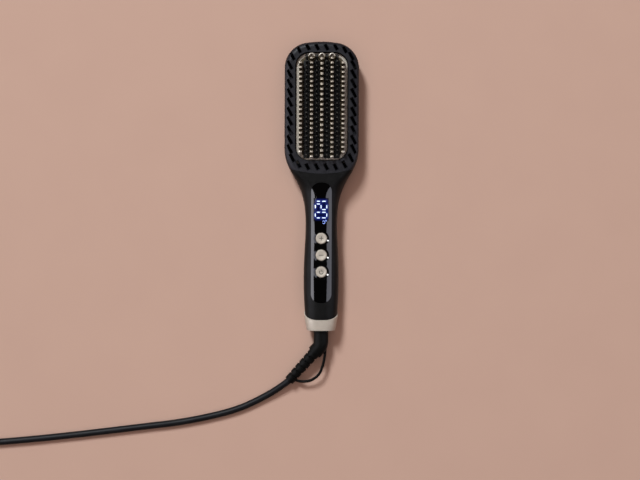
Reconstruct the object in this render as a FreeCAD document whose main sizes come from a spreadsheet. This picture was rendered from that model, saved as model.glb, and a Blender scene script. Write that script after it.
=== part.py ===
"""Steam hair straightener brush: a paddle head with a heated comb plate, a water tank in
its back, a handle with a control panel, and a swivelling mains lead.

Millimetres.  X to the right, Y along the handle towards the head's tip, Z up out of the
bristles.  The brush lies on its back: the origin is the middle of its footprint.
"""
import FreeCAD, Part
import Sketcher
import math
import os
from FreeCAD import Placement, Rotation, Vector

doc = FreeCAD.newDocument("SteamBrush")
sheet = doc.addObject("Spreadsheet::Sheet", "Sizes")

# ---------------------------------------------------------------- driving dimensions
SIZES = {
    # whole brush
    "half_length": 136.5,        # origin to the head's tip, and to the end cap's end
    "wall": 2.2,                 # housing walls
    "seam_gap": 0.15,            # joint line between two mouldings
    "parting_height": 14,        # rear shell below, front mouldings above
    # head
    "head_width": 70.2,
    "head_height": 27,
    "head_corner": 24,
    "tip_radius": 95,
    "head_under_round": 10,
    "head_over_round": 5,
    "joint_y": 46,               # where the straight head turns into the neck
    "shoulder_run": 8,
    "frame_seam_y": 11.6,
    "frame_seam_radius": 97,
    # comb opening and slots of the guard frame
    "opening_width": 50,
    "opening_bottom_y": 23.9,
    "opening_tip_rim": 10.3,     # opening to the head's tip
    "opening_corner": 13,
    "opening_rim": 1.8,
    "opening_rim_bottom": 20,
    "slot_length": 8.8,          # along the head's sides
    "slot_end_length": 5.6,      # across its two ends
    "slot_width": 2.4,
    "slot_flare": 0.7,           # widening of a slot's mouth, all round
    "slot_flare_depth": 0.9,
    "slot_depth": 5,
    "slot_slant": 28,
    "slot_pitch": 8.8,
    "slot_line_side_rim": 5,      # middle line of the slots to the head's side
    "slot_line_bottom_y": 18,
    "slot_line_tip_rim": 5.8,
    "slot_line_corner": 17,
    # heating plate
    "plate_gap": 0.6,
    "plate_top": 23,
    "plate_edge": 0.7,
    "flange_bottom": 17.4,
    "flange_thickness": 1.6,
    "flange_reach": 1.5,
    "tooth_top": 35,
    "tooth_foot_width": 3.6,
    "tooth_tip_width": 2.9,
    "tooth_pitch": 4.38,
    "tooth_first_y": 27.5,
    "centre_tooth_pitch": 4.79,
    "centre_tooth_shift": 0.6,
    "root_depth": 0.5,
    "notch_depth": 9,
    "notch_mouth": 2.8,
    "notch_floor": 2,
    "column_pitch": 9.6,
    "outer_column_x": 19.9,
    "tooth_end_room": 6.2,       # last tooth to the opening's end
    "end_ring_radius": 2.6,
    "end_ring_thickness": 0.75,
    "end_ring_top": 27,
    "end_ring_room": 4.0,
    "pip_radius": 0.8,
    # bristle strips
    "strip_width": 5.5,
    "strip_start_y": 26.4,
    "strip_tongue_width": 2.4,
    "strip_tongue_length": 6,
    "strip_rise": 1.2,
    "strip_sunk": 1.0,
    "strip_fit": 0.05,
    "bristle_root": 1.05,
    "bristle_tip": 0.6,
    "bristle_top": 38,
    "bristle_cone": 0.7,
    # under the plate
    "heater_width": 24,
    "heater_start_y": 49,
    "heater_end_room": 9.3,
    "heater_thickness": 2.2,
    "insulator_thickness": 0.3,
    "clamp_thickness": 0.8,
    "clamp_reach": 5,
    "clamp_play": 0.4,
    "sensor_x": 20,
    "thermistor_radius": 1.5,
    "thermistor_length": 5,
    "fuse_radius": 2,
    "fuse_length": 10,
    "chamber_width": 34,
    "chamber_length": 14,
    "chamber_depth": 3.4,
    "chamber_centre_y": 35,
    "shield_thickness": 0.8,
    "shield_height": 12.5,
    "shield_half_width": 25.3,
    "shield_start_y": 22,
    "shield_end_gap": 1,
    "ledge_low_y": 62,
    "ledge_high_y": 82,
    # water tank
    "tank_cap_length": 24.5,
    "tank_gap": 0.3,
    "tank_width": 47,
    "tank_inner_y": 55,
    "tank_bottom": 2.6,
    "tank_height": 8.8,
    "tank_round": 2.5,
    "tank_wall": 1.2,
    "rail_thickness": 1.2,
    "rail_height": 6,
    "ledge_thickness": 1.2,
    "ledge_reach": 1.5,
    "filler_radius": 4.2,
    "filler_from_seam": 14,
    "plug_overlap": 1,
    "valve_radius": 2.5,
    "valve_length": 6,
    "valve_fit": 0.08,
    "seal_radius": 4.2,
    "nozzle_length": 3,
    # pump
    "pump_width": 22,
    "pump_length": 13,
    "pump_height": 8.6,
    "pump_y": 30,
    "pump_bottom": 2.6,
    "tube_radius": 2,
    "tube_bore": 1.2,
    # control panel
    "panel_width": 19.4,
    "panel_top_y": 3.2,
    "panel_end_rise": 26.5,      # end cap's end to the panel's end
    "panel_corner": 8.5,
    "panel_thickness": 1.8,
    "panel_proud": 0.3,
    "panel_ledge": 2.4,
    # buttons
    "button_radius": 5.2,
    "button_pitch": 15.8,
    "button_first_y": -49.3,
    "button_top": 28.7,
    "button_gap": 0.3,
    "button_flange_radius": 6.1,
    "button_flange_top": 25.2,
    "button_flange_thickness": 0.8,
    "button_stem_radius": 2,
    "button_travel": 0.5,
    "button_edge": 0.6,
    "button_dip_radius": 3.7,
    "button_dip_depth": 0.35,
    "press_clearance": 0.05,
    "dish_radius": 7.3,
    "dish_ball": 27,
    "dish_sink": 1.9,            # the dish's lowest point under the panel's crest
    # electronics
    "board_width": 18,
    "board_top_y": 0,
    "board_end_rise": 32.5,
    "board_thickness": 1.6,
    "board_height": 18.6,
    "board_post_radius": 1.8,
    "board_post_inset": 3,
    "switch_side": 6,
    "switch_body": 3,
    "switch_nub": 1.6,
    "switch_nub_height": 0.6,
    "display_width": 13.4,
    "display_length": 29,
    "display_centre_y": -24.8,
    "display_height": 4.8,
    "power_board_length": 44,
    "power_board_rise": 60.5,
    "power_board_height": 7.5,
    "power_rest_inset": 3,
    "capacitor_radius": 4.2,
    "capacitor_length": 14,
    # end cap and swivel
    "cap_seam_rise": 16.4,       # end cap's end to its joint line at the parting height
    "cap_seam_tilt": 26,
    "cap_wall": 1.7,
    "cap_end_wall": 2.4,
    "spigot_length": 5,
    "spigot_thickness": 1.5,
    "swivel_height": 14.3,
    "neck_radius": 7,
    "neck_gap": 0.3,
    "bush_radius": 8.3,
    "bush_length": 3,
    "bush_fit": 0.06,
    "swivel_flange_radius": 8.1,
    "swivel_flange_length": 2,
    "slip_disc_length": 3,
    # screws
    "screw_radius": 1.3,
    "screw_head_radius": 2.5,
    "screw_head_height": 1.8,
    "screw_length": 12,
    "boss_radius": 3,
    "screw_fit": 0.1,
    "screw_head_seat": 4.4,
    "neck_screw_x": 14,
    "neck_screw_y": 7,
    "tail_screw_rise": 28,
    "frame_screw_side_rim": 5.3,
    "frame_screw_low_y": 50,
    "frame_screw_tip_rim": 36.5,
    "frame_post_top": 19.5,
    "frame_post_rib": 1.6,
    "pilot_room": 1,
    # cord, guard and loop
    "cord_radius": 3.15,
    "guard_neck_length": 14.5,
    "guard_root_radius": 5.6,
    "guard_tip_radius": 4.7,
    "guard_rib_pitch": 6.2,
    "guard_rib_depth": 0.9,
    "guard_rib_gap": 2.2,
    "guard_sleeve_start": 9,
    "guard_window": 3.4,
    "loop_radius": 1.3,
    "coil_radius": 35,
    "coil_band": 26,
    "coil_height": 12,
    # mains plug
    "plug_width": 35.3,
    "plug_thickness": 13.7,
    "plug_length": 24,
    "plug_nose": 11,
    "plug_relief_length": 16,
    "plug_relief_radius": 4.6,
    "plug_relief_wall": 0.8,
    "plug_root_width": 14,
    "plug_bevel": 4,
    "pin_radius": 2,
    "pin_length": 19,
    "pin_spacing": 18.6,
}

# Cross-sections: place along Y, width, bottom, top, lower and upper rounding.  The neck's
# are placed from the origin, those of the grip and the end cap from the end cap's end.
NECK_SECTIONS = {
    "flare_upper": (27, 68.4, 0, 27, 10.2, 5.6),
    "flare_middle": (15, 59.1, 0.1, 27.1, 11, 7),
    "flare_lower": (5, 47.4, 0.6, 27.3, 11.5, 11.5),
    "neck": (-6, 37.9, 1.4, 27.6, 9.6, 16.2),
    "throat": (-20, 31.7, 2.3, 27.9, 11.8, 12.6),
}
GRIP_SECTIONS = {
    "waist": (96.5, 29.8, 2.6, 28, 11.8, 11.6),
    "swell": (74.5, 31.9, 1.3, 28, 12.4, 12.4),
    "grip": (50.5, 33.3, 0.25, 27.9, 13, 13),
    "heel": (28.5, 32.3, 0.5, 27.6, 13, 13),
    "tail": (16.5, 30.7, 1.4, 27.1, 12.4, 12.4),
    "tail_end": (6.5, 28.4, 2.9, 25.7, 11, 11),
}
CAP_SECTIONS = {
    "collar": (28.5, 33.7, 0.2, 28.2, 13.2, 13.2),
    "band": (16.5, 32.1, 0.8, 27.8, 12.8, 12.8),
    "taper": (7.5, 29.8, 2.2, 26.4, 11.4, 11.4),
    "cap_end": (0, 26.6, 4.0, 24.6, 10, 10),
}
SECTION_TERMS = ("place", "width", "bottom", "top", "under", "over")

for sections in (NECK_SECTIONS, GRIP_SECTIONS, CAP_SECTIONS):
    for section, numbers in sections.items():
        for term_name, number in zip(SECTION_TERMS, numbers):
            SIZES[section + "_" + term_name] = number
for row, (alias, number) in enumerate(SIZES.items(), start=1):
    sheet.set("A%d" % row, alias)
    sheet.set("B%d" % row, str(number))
    sheet.setAlias("B%d" % row, alias)
doc.recompute()


class Term:
    """A length that knows its value and the sheet expression it is worked out from."""

    def __init__(self, value, text):
        self.value = value
        self.text = text

    def join(self, sign, other, value):
        return Term(value, "(%s %s %s)" % (self.text, sign, other.text))

    def __add__(self, other):
        other = term(other)
        return self.join("+", other, self.value + other.value)

    def __sub__(self, other):
        other = term(other)
        return self.join("-", other, self.value - other.value)

    def __mul__(self, other):
        other = term(other)
        return self.join("*", other, self.value * other.value)

    def __truediv__(self, other):
        other = term(other)
        return self.join("/", other, self.value / other.value)

    def __radd__(self, other):
        return term(other) + self

    def __rsub__(self, other):
        return term(other) - self

    def __rmul__(self, other):
        return term(other) * self

    def __neg__(self):
        return Term(-self.value, "(-%s)" % self.text)

    def __float__(self):
        return float(self.value)


def term(number):
    """A plain number as a Term; a Term stays as it is."""
    return number if isinstance(number, Term) else Term(number, "%g" % number)


def cosine(angle):
    return Term(math.cos(math.radians(angle.value)), "cos(%s)" % angle.text)


def sine(angle):
    return Term(math.sin(math.radians(angle.value)), "sin(%s)" % angle.text)


class Sheet:
    """The driving dimensions by name, read back from the spreadsheet."""

    def __getattr__(self, alias):
        return Term(float(sheet.get(alias)), "Sizes." + alias)


S = Sheet()
ALONG_X = Rotation(Vector(0, 1, 0), 90)
ALONG_Y = Rotation(Vector(1, 0, 0), -90)
ALONG_Z = Rotation()
REACH = 400                      # half-size of blocks that only divide space


# ---------------------------------------------------------------- ways of making things
def bind(feature, path, length):
    feature.setExpression(path, term(length).text)


def place(feature, x, y, z, rotation=ALONG_Z):
    feature.Placement = Placement(Vector(float(x), float(y), float(z)), rotation)
    for axis, length in zip("xyz", (x, y, z)):
        bind(feature, ".Placement.Base." + axis, length)
    return feature


def box(name, x, y, z, width, length, height):
    """Block between its lowest corner (x, y, z) and the sides given."""
    block = doc.addObject("Part::Box", name)
    for side, extent in (("Length", width), ("Width", length), ("Height", height)):
        bind(block, side, extent)
    return place(block, x, y, z)


def rod(name, x, y, z, radius, length, rotation=ALONG_Z):
    """Cylinder from (x, y, z) along the axis that the rotation turns Z to."""
    cylinder = doc.addObject("Part::Cylinder", name)
    bind(cylinder, "Radius", radius)
    bind(cylinder, "Height", length)
    return place(cylinder, x, y, z, rotation)


def taper(name, x, y, z, radius, end_radius, length, rotation=ALONG_Z):
    cone = doc.addObject("Part::Cone", name)
    bind(cone, "Radius1", radius)
    bind(cone, "Radius2", end_radius)
    bind(cone, "Height", length)
    return place(cone, x, y, z, rotation)


def cut(name, base, *tools):
    for tool in tools:
        result = doc.addObject("Part::Cut", name)
        result.Base = base
        result.Tool = tool
        base = result
    return base


def joined(name, *solids):
    result = doc.addObject("Part::MultiFuse", name)
    result.Shapes = list(solids)
    return result


def shared(name, *solids):
    result = doc.addObject("Part::MultiCommon", name)
    result.Shapes = list(solids)
    return result


def group(name, solids):
    result = doc.addObject("Part::Compound", name)
    result.Links = list(solids)
    return result


def tube(name, x, y, z, radius, bore, length, rotation=ALONG_Z):
    return cut(name, rod(name + "_rod", x, y, z, radius, length, rotation),
               rod(name + "_bore", x, y, z, bore, length, rotation))


def sketch_on(body, role, x, y, offset):
    """Sketch on one of the body's own planes, its origin at (x, y) and lifted by offset."""
    sketch = body.newObject("Sketcher::SketchObject", body.Name + "_sketch")
    plane = [feature for feature in body.Origin.OriginFeatures if feature.Role == role][0]
    sketch.AttachmentSupport = [(plane, "")]
    sketch.MapMode = "FlatFace"
    sketch.AttachmentOffset = Placement(Vector(float(x), float(y), float(offset)), Rotation())
    for axis, length in zip("xyz", (x, y, offset)):
        bind(sketch, ".AttachmentOffset.Base." + axis, length)
    return sketch


def dimension(sketch, name, kind, *details):
    """Named constraint whose last detail is the Term that drives it."""
    length = term(details[-1])
    index = sketch.addConstraint(Sketcher.Constraint(kind, *details[:-1], float(length)))
    sketch.renameConstraint(index, name)
    bind(sketch, "Constraints." + name, length)


def arc(x, y, radius, start, end):
    circle = Part.Circle(Vector(x, y, 0), Vector(0, 0, 1), radius)
    return Part.ArcOfCircle(circle, math.radians(start), math.radians(end))


def segment(x0, y0, x1, y1):
    return Part.LineSegment(Vector(x0, y0, 0), Vector(x1, y1, 0))


def rounded_rectangle(sketch, width, height, under, over):
    """Rectangle standing on the sketch's X axis, centred on its Y axis: its two lower
    corners rounded by under and its two upper ones by over."""
    half, top = float(width) / 2, float(height)
    low, high = float(under), float(over)
    sketch.addGeometry([
        segment(low - half, 0, half - low, 0),
        arc(half - low, low, low, 270, 360),
        segment(half, low, half, top - high),
        arc(half - high, top - high, high, 0, 90),
        segment(half - high, top, high - half, top),
        arc(high - half, top - high, high, 90, 180),
        segment(-half, top - high, -half, low),
        arc(low - half, low, low, 180, 270),
    ], False)
    for edge in range(8):
        sketch.addConstraint(Sketcher.Constraint("Tangent", edge, 2, (edge + 1) % 8, 1))
    sketch.addConstraint([
        Sketcher.Constraint("Symmetric", 0, 1, 0, 2, -2),
        Sketcher.Constraint("PointOnObject", 0, 1, -1),
        Sketcher.Constraint("Vertical", 2),
        Sketcher.Constraint("Vertical", 6),
        Sketcher.Constraint("Horizontal", 4),
    ])
    for corner, (edge, radius) in enumerate(((1, under), (7, under), (3, over), (5, over))):
        dimension(sketch, "corner_%d" % corner, "Radius", edge, radius)
    dimension(sketch, "width", "DistanceX", 6, 2, 2, 1, width)
    dimension(sketch, "height", "DistanceY", -1, 1, 4, 1, height)


def new_body(name):
    return doc.addObject("PartDesign::Body", name)


def pad(body, sketch, height):
    feature = body.newObject("PartDesign::Pad", body.Name + "_pad")
    feature.Profile = sketch
    bind(feature, "Length", height)
    return feature


def rounded_plate(name, y, z, width, length, corner, height):
    """Plate with rounded corners, centred on X = 0, from y upwards and from z upwards."""
    body = new_body(name)
    sketch = sketch_on(body, "XY_Plane", 0, y, z)
    rounded_rectangle(sketch, width, length, corner, corner)
    pad(body, sketch, height)
    return body


def named_edges(shape, wanted):
    """Names of the edges whose middle point passes the test."""
    names = []
    for index, edge in enumerate(shape.Edges, start=1):
        middle = edge.valueAt((edge.FirstParameter + edge.LastParameter) / 2)
        if wanted(middle, edge):
            names.append("Edge%d" % index)
    return names


def round_edges(body, base, wanted, radius):
    doc.recompute()
    fillet = body.newObject("PartDesign::Fillet", body.Name + "_round")
    fillet.Base = (base, named_edges(base.Shape, wanted))
    bind(fillet, "Radius", radius)
    return fillet


NODES = {}


def node(label, feature):
    """Record a finished sub-part under the name of its file."""
    feature.Label = label
    NODES[label] = feature
    return feature


# ---------------------------------------------------------------- the brush's outer form
def lofted(name, sections, inset):
    """Loft through rounded sections across Y, each drawn in by inset."""
    body = new_body(name)
    sketches = []
    for y, width, bottom, top, under, over in sections:
        sketch = sketch_on(body, "XZ_Plane", 0, bottom + inset, -y)
        rounded_rectangle(sketch, width - 2 * inset, top - bottom - 2 * inset,
                          under - inset, over - inset)
        sketches.append(sketch)
    loft = body.newObject("PartDesign::AdditiveLoft", name + "_loft")
    loft.Profile = sketches[0]
    loft.Sections = sketches[1:]
    return body


def section_terms(section, start):
    """Place of a section, counted from start, and its other sizes."""
    place_y, *others = (getattr(S, section + "_" + name) for name in SECTION_TERMS)
    return (start + place_y, *others)


CAP_END = -S.half_length
TIP = S.half_length
HEAD_SECTION = (S.head_width, term(0), S.head_height, S.head_under_round, S.head_over_round)
SHOULDER = [(S.joint_y,) + HEAD_SECTION, (S.joint_y - S.shoulder_run,) + HEAD_SECTION]
HANDLE = (SHOULDER + [section_terms(section, term(0)) for section in NECK_SECTIONS]
          + [section_terms(section, CAP_END) for section in GRIP_SECTIONS])
CAP = [section_terms(section, CAP_END) for section in CAP_SECTIONS]


def head(name, inset):
    """Straight part of the head: rounded at the tip, its two rims rounded as well."""
    body = new_body(name)
    sketch = sketch_on(body, "XY_Plane", 0, S.joint_y, inset)
    half = S.head_width / 2 - inset
    corner = S.head_corner - inset
    tip = S.tip_radius - inset
    length = S.half_length - inset - S.joint_y
    reach = math.sqrt((float(tip) - float(corner)) ** 2 - (float(half) - float(corner)) ** 2)
    tip_y = float(length) - float(tip)
    lean = math.degrees(math.atan2(reach, float(half) - float(corner)))
    side_x, corner_x, corner_y = float(half), float(half) - float(corner), tip_y + reach
    sketch.addGeometry([
        segment(side_x, 0, side_x, corner_y),
        arc(corner_x, corner_y, float(corner), 0, lean),
        arc(0, tip_y, float(tip), lean, 180 - lean),
        arc(-corner_x, corner_y, float(corner), 180 - lean, 180),
        segment(-side_x, corner_y, -side_x, 0),
        segment(-side_x, 0, side_x, 0),
    ], False)
    sketch.addGeometry([Part.Point(Vector(0, float(length), 0))], True)
    for edge in range(4):
        sketch.addConstraint(Sketcher.Constraint("Tangent", edge, 2, edge + 1, 1))
    sketch.addConstraint([
        Sketcher.Constraint("Coincident", 4, 2, 5, 1),
        Sketcher.Constraint("Coincident", 5, 2, 0, 1),
        Sketcher.Constraint("Symmetric", 5, 1, 5, 2, -1, 1),
        Sketcher.Constraint("Horizontal", 5),
        Sketcher.Constraint("Vertical", 0),
        Sketcher.Constraint("Vertical", 4),
        Sketcher.Constraint("PointOnObject", 2, 3, -2),
        Sketcher.Constraint("PointOnObject", 6, 1, -2),
        Sketcher.Constraint("PointOnObject", 6, 1, 2),
    ])
    dimension(sketch, "width", "DistanceX", 5, 1, 5, 2, 2 * half)
    dimension(sketch, "corner_right", "Radius", 1, corner)
    dimension(sketch, "corner_left", "Radius", 3, corner)
    dimension(sketch, "tip", "Radius", 2, tip)
    dimension(sketch, "length", "DistanceY", -1, 1, 6, 1, length)
    height = S.head_height - 2 * inset
    base = pad(body, sketch, height)
    low, joint = float(inset), float(S.joint_y)

    def lower_rim(point, edge):
        return abs(point.z - low) < 0.01 and point.y > joint + 0.01

    def upper_rim(point, edge):
        return abs(point.z - low - float(height)) < 0.01 and point.y > joint + 0.01

    base = round_edges(body, base, lower_rim, S.head_under_round - inset)
    round_edges(body, base, upper_rim, S.head_over_round - inset)
    return body


def brush_form(name, inset):
    return joined(name, head(name + "_head", inset), lofted(name + "_handle", HANDLE, inset))


outer_form = brush_form("outer_form", term(0))
inner_form = brush_form("inner_form", S.wall)

# ---------------------------------------------------------------- dividing the form
def slanted_block(name, shift):
    """All that lies on the tail side of the slanted joint line of the end cap."""
    tilt = S.cap_seam_tilt
    rise, run = REACH * sine(tilt), REACH * cosine(tilt)
    block = box(name, -REACH / 2, CAP_END + S.cap_seam_rise + shift + rise / 2 - run,
                S.parting_height - run / 2 - rise, REACH, REACH, REACH)
    block.Placement.Rotation = Rotation(Vector(1, 0, 0), float(tilt))
    bind(block, ".Placement.Rotation.Angle", tilt)
    return block


below_parting = box("below_parting", -REACH / 2, -REACH / 2, -REACH, REACH, REACH,
                    REACH + S.parting_height)
above_parting = box("above_parting", -REACH / 2, -REACH / 2, S.parting_height + S.seam_gap,
                    REACH, REACH, REACH)
tail_side = slanted_block("tail_side", term(0))
frame_side = rod("frame_side", 0, S.frame_seam_y + S.frame_seam_radius, 0,
                 S.frame_seam_radius, REACH)
neck_side = rod("neck_side", 0, S.frame_seam_y + S.frame_seam_radius, 0,
                S.frame_seam_radius + S.seam_gap, REACH)

# Spigot of the handle's tail, which the end cap slides over.
CAP_FIT = S.cap_wall + S.seam_gap
spigot_outer = lofted("spigot_outer", CAP, CAP_FIT)
spigot_inner = lofted("spigot_inner", CAP, CAP_FIT + S.spigot_thickness)
spigot = cut("spigot", shared("spigot_ring", spigot_outer,
                              slanted_block("spigot_start", S.spigot_length / 2)),
             spigot_inner, slanted_block("spigot_end", -S.spigot_length))


# ---------------------------------------------------------------- screws and their bosses
NECK_SCREWS = [(sign * S.neck_screw_x, S.neck_screw_y) for sign in (-1, 1)]
TAIL_SCREWS = [(term(0), CAP_END + S.tail_screw_rise)]
FRAME_SCREW_YS = (S.frame_screw_low_y, TIP - S.frame_screw_tip_rim)
FRAME_SCREW_X = S.head_width / 2 - S.frame_screw_side_rim
FRAME_SCREWS = [(sign * FRAME_SCREW_X, y) for sign in (-1, 1) for y in FRAME_SCREW_YS]
HANDLE_SCREWS = NECK_SCREWS + TAIL_SCREWS


def at_screws(name, places, z, radius, length):
    """The same cylinder at each screw."""
    return group(name, [rod(name + "_rod", x, y, z, radius, length) for x, y in places])


def lower_bosses(name, places):
    """Posts under the parting plane that the screws pass through."""
    posts = at_screws(name, places, S.wall / 2, S.boss_radius, S.parting_height - S.wall / 2)
    return shared(name + "_trimmed", posts, outer_form)


def screw_holes(name, places):
    passage = at_screws(name + "_passage", places, -REACH, S.screw_radius + S.screw_fit,
                        2 * REACH)
    pocket = at_screws(name + "_pocket", places, -REACH,
                       S.screw_head_radius + S.screw_fit, REACH + S.screw_head_seat)
    return joined(name, passage, pocket)


def upper_bosses(name, places, top):
    """Posts above the parting plane that the screws bite into."""
    posts = at_screws(name + "_post", places, S.parting_height, S.boss_radius,
                      top - S.parting_height)
    return shared(name, posts, outer_form)


def pilot_holes(name, places):
    start = S.parting_height - S.wall
    return at_screws(name, places, start, S.screw_radius,
                     S.screw_head_seat + S.screw_length + S.pilot_room - start)


def screw_set(name, places):
    screws = []
    for x, y in places:
        shank = rod(name + "_shank", x, y, S.screw_head_seat, S.screw_radius, S.screw_length)
        screw_head = rod(name + "_head", x, y, S.screw_head_seat - S.screw_head_height,
                         S.screw_head_radius, S.screw_head_height)
        screws.append(joined(name + "_screw", shank, screw_head))
    return group(name, screws)


# ---------------------------------------------------------------- rear housing
TANK_SEAM = TIP - S.tank_cap_length
tank_bay = box("tank_bay", -REACH / 2, TANK_SEAM, -REACH / 2, REACH, REACH, REACH)
rails = group("rails", [
    box("rail", side * (S.tank_width / 2 + S.tank_gap) + (side - 1) / 2 * S.rail_thickness,
        S.tank_inner_y, S.wall / 2, S.rail_thickness,
        TANK_SEAM - S.tank_inner_y - S.wall, S.rail_height)
    for side in (-1, 1)])
shield_ledges = group("shield_ledges", [
    box("shield_ledge", side * S.shield_half_width - S.ledge_reach, y, S.wall,
        2 * S.ledge_reach, S.ledge_thickness, S.shield_height - S.wall)
    for side in (-1, 1) for y in (S.ledge_low_y, S.ledge_high_y)])
BOARD_END = CAP_END + S.board_end_rise
board_posts = group("board_posts", [
    rod("board_post", 0, y, S.wall / 2, S.board_post_radius, S.board_height - S.wall / 2)
    for y in (S.board_top_y - S.board_post_inset, BOARD_END + S.board_post_inset)])
POWER_MIDDLE = CAP_END + S.power_board_rise
POWER_START = POWER_MIDDLE - S.power_board_length / 2
power_rests = group("power_rests", [
    box("power_rest", -S.board_width / 2, y, S.wall / 2, S.board_width, S.ledge_thickness,
        S.power_board_height - S.wall / 2)
    for y in (POWER_START + S.power_rest_inset,
              POWER_START + S.power_board_length - S.power_rest_inset - S.ledge_thickness)])
pump_cradle = group("pump_cradle", [
    box("pump_stop", side * (S.pump_width / 2 + S.tank_gap)
        + (side - 1) / 2 * S.rail_thickness, S.pump_y, S.wall / 2, S.rail_thickness,
        S.pump_length, S.rail_height)
    for side in (-1, 1)])
rear_shell = cut("rear_shell", shared("rear_blank", outer_form, below_parting),
                 tail_side, inner_form)
rear_inside = shared("rear_inside",
                     joined("rear_fittings", rails, shield_ledges, board_posts, power_rests,
                            pump_cradle), outer_form)
rear_spigot = shared("rear_spigot", spigot, below_parting)
rear_housing = cut("rear_housing_cut",
                   joined("rear_whole", rear_shell, rear_inside, rear_spigot,
                          lower_bosses("handle_boss", HANDLE_SCREWS),
                          lower_bosses("frame_boss", FRAME_SCREWS)),
                   tank_bay,
                   screw_holes("rear_screw_holes", HANDLE_SCREWS + FRAME_SCREWS))
node("rear_housing", rear_housing)

# ---------------------------------------------------------------- front housing
PANEL_END = CAP_END + S.panel_end_rise


def panel_outline(name, gap):
    """Prism of the control panel's outline, grown by gap."""
    return rounded_plate(name, PANEL_END - gap, S.parting_height, S.panel_width + 2 * gap,
                         S.panel_top_y - PANEL_END + 2 * gap, S.panel_corner + gap,
                         S.head_height)


def form_lifted(name, lift):
    """The brush's outer form, moved up by lift."""
    moved = doc.addObject("Part::Compound", name)
    moved.Links = [outer_form]
    return place(moved, 0, 0, lift)


panel_floor = form_lifted("panel_floor", -S.panel_thickness - S.seam_gap)
panel_recess = cut("panel_recess", panel_outline("panel_pocket", S.seam_gap), panel_floor)
window = panel_outline("panel_window", -S.panel_ledge)
front_shell = cut("front_shell", shared("front_blank", outer_form, above_parting),
                  tail_side, neck_side, inner_form)
front_housing = cut("front_housing_cut",
                    joined("front_whole", front_shell, shared("front_spigot", spigot,
                                                              above_parting),
                           upper_bosses("front_boss", HANDLE_SCREWS, S.head_height)),
                    panel_recess, window, pilot_holes("front_pilot", HANDLE_SCREWS))
node("front_housing", front_housing)


# ---------------------------------------------------------------- slotted guard frame
OPENING_LENGTH = TIP - S.opening_tip_rim - S.opening_bottom_y


def opening_prism(name, gap, z, height):
    """Prism of the comb opening's outline, grown by gap, from z upwards."""
    return rounded_plate(name, S.opening_bottom_y - gap, z, S.opening_width + 2 * gap,
                         OPENING_LENGTH + 2 * gap, S.opening_corner + gap, height)


def along_rounded_line(distance, half_width, length, corner):
    """Point at a distance along a rounded rectangle that starts at the middle of its
    lower side and runs anticlockwise, its lower side on Y = 0, and the heading there."""
    bend = math.pi / 2 * corner
    half_side, upright = half_width - corner, length - 2 * corner
    runs = [half_side, bend, upright, bend, 2 * half_side, bend, upright, bend, half_side]
    starts = [(0, 0, 0), (half_side, 0, 0), (half_width, corner, 90),
              (half_width, length - corner, 90), (half_side, length, 180),
              (-half_side, length, 180), (-half_width, length - corner, 270),
              (-half_width, corner, 270), (-half_side, 0, 0)]
    stretch = 0
    while distance > runs[stretch] and stretch < len(runs) - 1:
        distance -= runs[stretch]
        stretch += 1
    x, y, heading = starts[stretch]
    angle = math.radians(heading)
    if stretch % 2 == 0:
        return x + distance * math.cos(angle), y + distance * math.sin(angle), angle
    turn = distance / corner
    along, aside = corner * math.sin(turn), corner * (1 - math.cos(turn))
    return (x + along * math.cos(angle) - aside * math.sin(angle),
            y + along * math.sin(angle) + aside * math.cos(angle), angle + turn)


def slot_mouth(name, x, y, slot_length, turn):
    """Frustum that flares the upper edge of one slot; it tapers along its own Y axis."""
    mouth = doc.addObject("Part::Wedge", name)
    flare, depth = S.slot_flare, S.slot_flare_depth
    # Above the face it goes on widening for as much again.
    for side, half in (("X", S.slot_width / 2), ("Z", slot_length / 2)):
        bind(mouth, side + "min", -half)
        bind(mouth, side + "max", half)
        bind(mouth, side + "2min", -half - 2 * flare)
        bind(mouth, side + "2max", half + 2 * flare)
    bind(mouth, "Ymin", term(0))
    bind(mouth, "Ymax", 2 * depth)
    return place(mouth, x, y, S.head_height - depth, turn * Rotation(Vector(1, 0, 0), 90))


def slots(name):
    """Slanted vent slots with flared mouths, all pointing the same way, evenly spaced
    round the opening: long ones on the sides, short ones across the ends."""
    half_width = float(S.head_width / 2 - S.slot_line_side_rim)
    corner = float(S.slot_line_corner)
    length = float(TIP - S.slot_line_tip_rim - S.slot_line_bottom_y)
    line = 4 * half_width + 2 * length - (8 - 2 * math.pi) * corner
    count = round(line / float(S.slot_pitch))
    turn = Rotation(Vector(0, 0, 1), float(S.slot_slant))
    tools, mouths = [], []
    for index in range(count):
        x, y, heading = along_rounded_line((index + 0.5) * line / count, half_width, length,
                                           corner)
        sideways = round(math.sin(heading) ** 2, 3)
        slot_length = S.slot_end_length + (S.slot_length - S.slot_end_length) * sideways
        tool = box(name + "_tool", 0, 0, 0, S.slot_width, slot_length, 2 * S.slot_depth)
        half = turn.multVec(Vector(float(S.slot_width) / 2, float(slot_length) / 2, 0))
        middle = y + S.slot_line_bottom_y
        tools.append(place(tool, x - half.x, middle - half.y, S.head_height - S.slot_depth,
                           turn))
        mouths.append(slot_mouth(name + "_mouth", x, middle, slot_length, turn))
    return group(name, tools), group(name + "_mouths", mouths)


def post_ribs(name):
    """Ribs that tie the frame's screw posts to its side walls."""
    reach = S.boss_radius + S.wall
    ribs = [box(name, side * (FRAME_SCREW_X + reach / 2) - reach / 2,
                y - S.frame_post_rib / 2, S.parting_height, reach, S.frame_post_rib,
                S.frame_post_top - S.parting_height)
            for side in (-1, 1) for y in FRAME_SCREW_YS]
    return shared(name + "_trimmed", group(name + "_all", ribs), outer_form)


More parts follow.
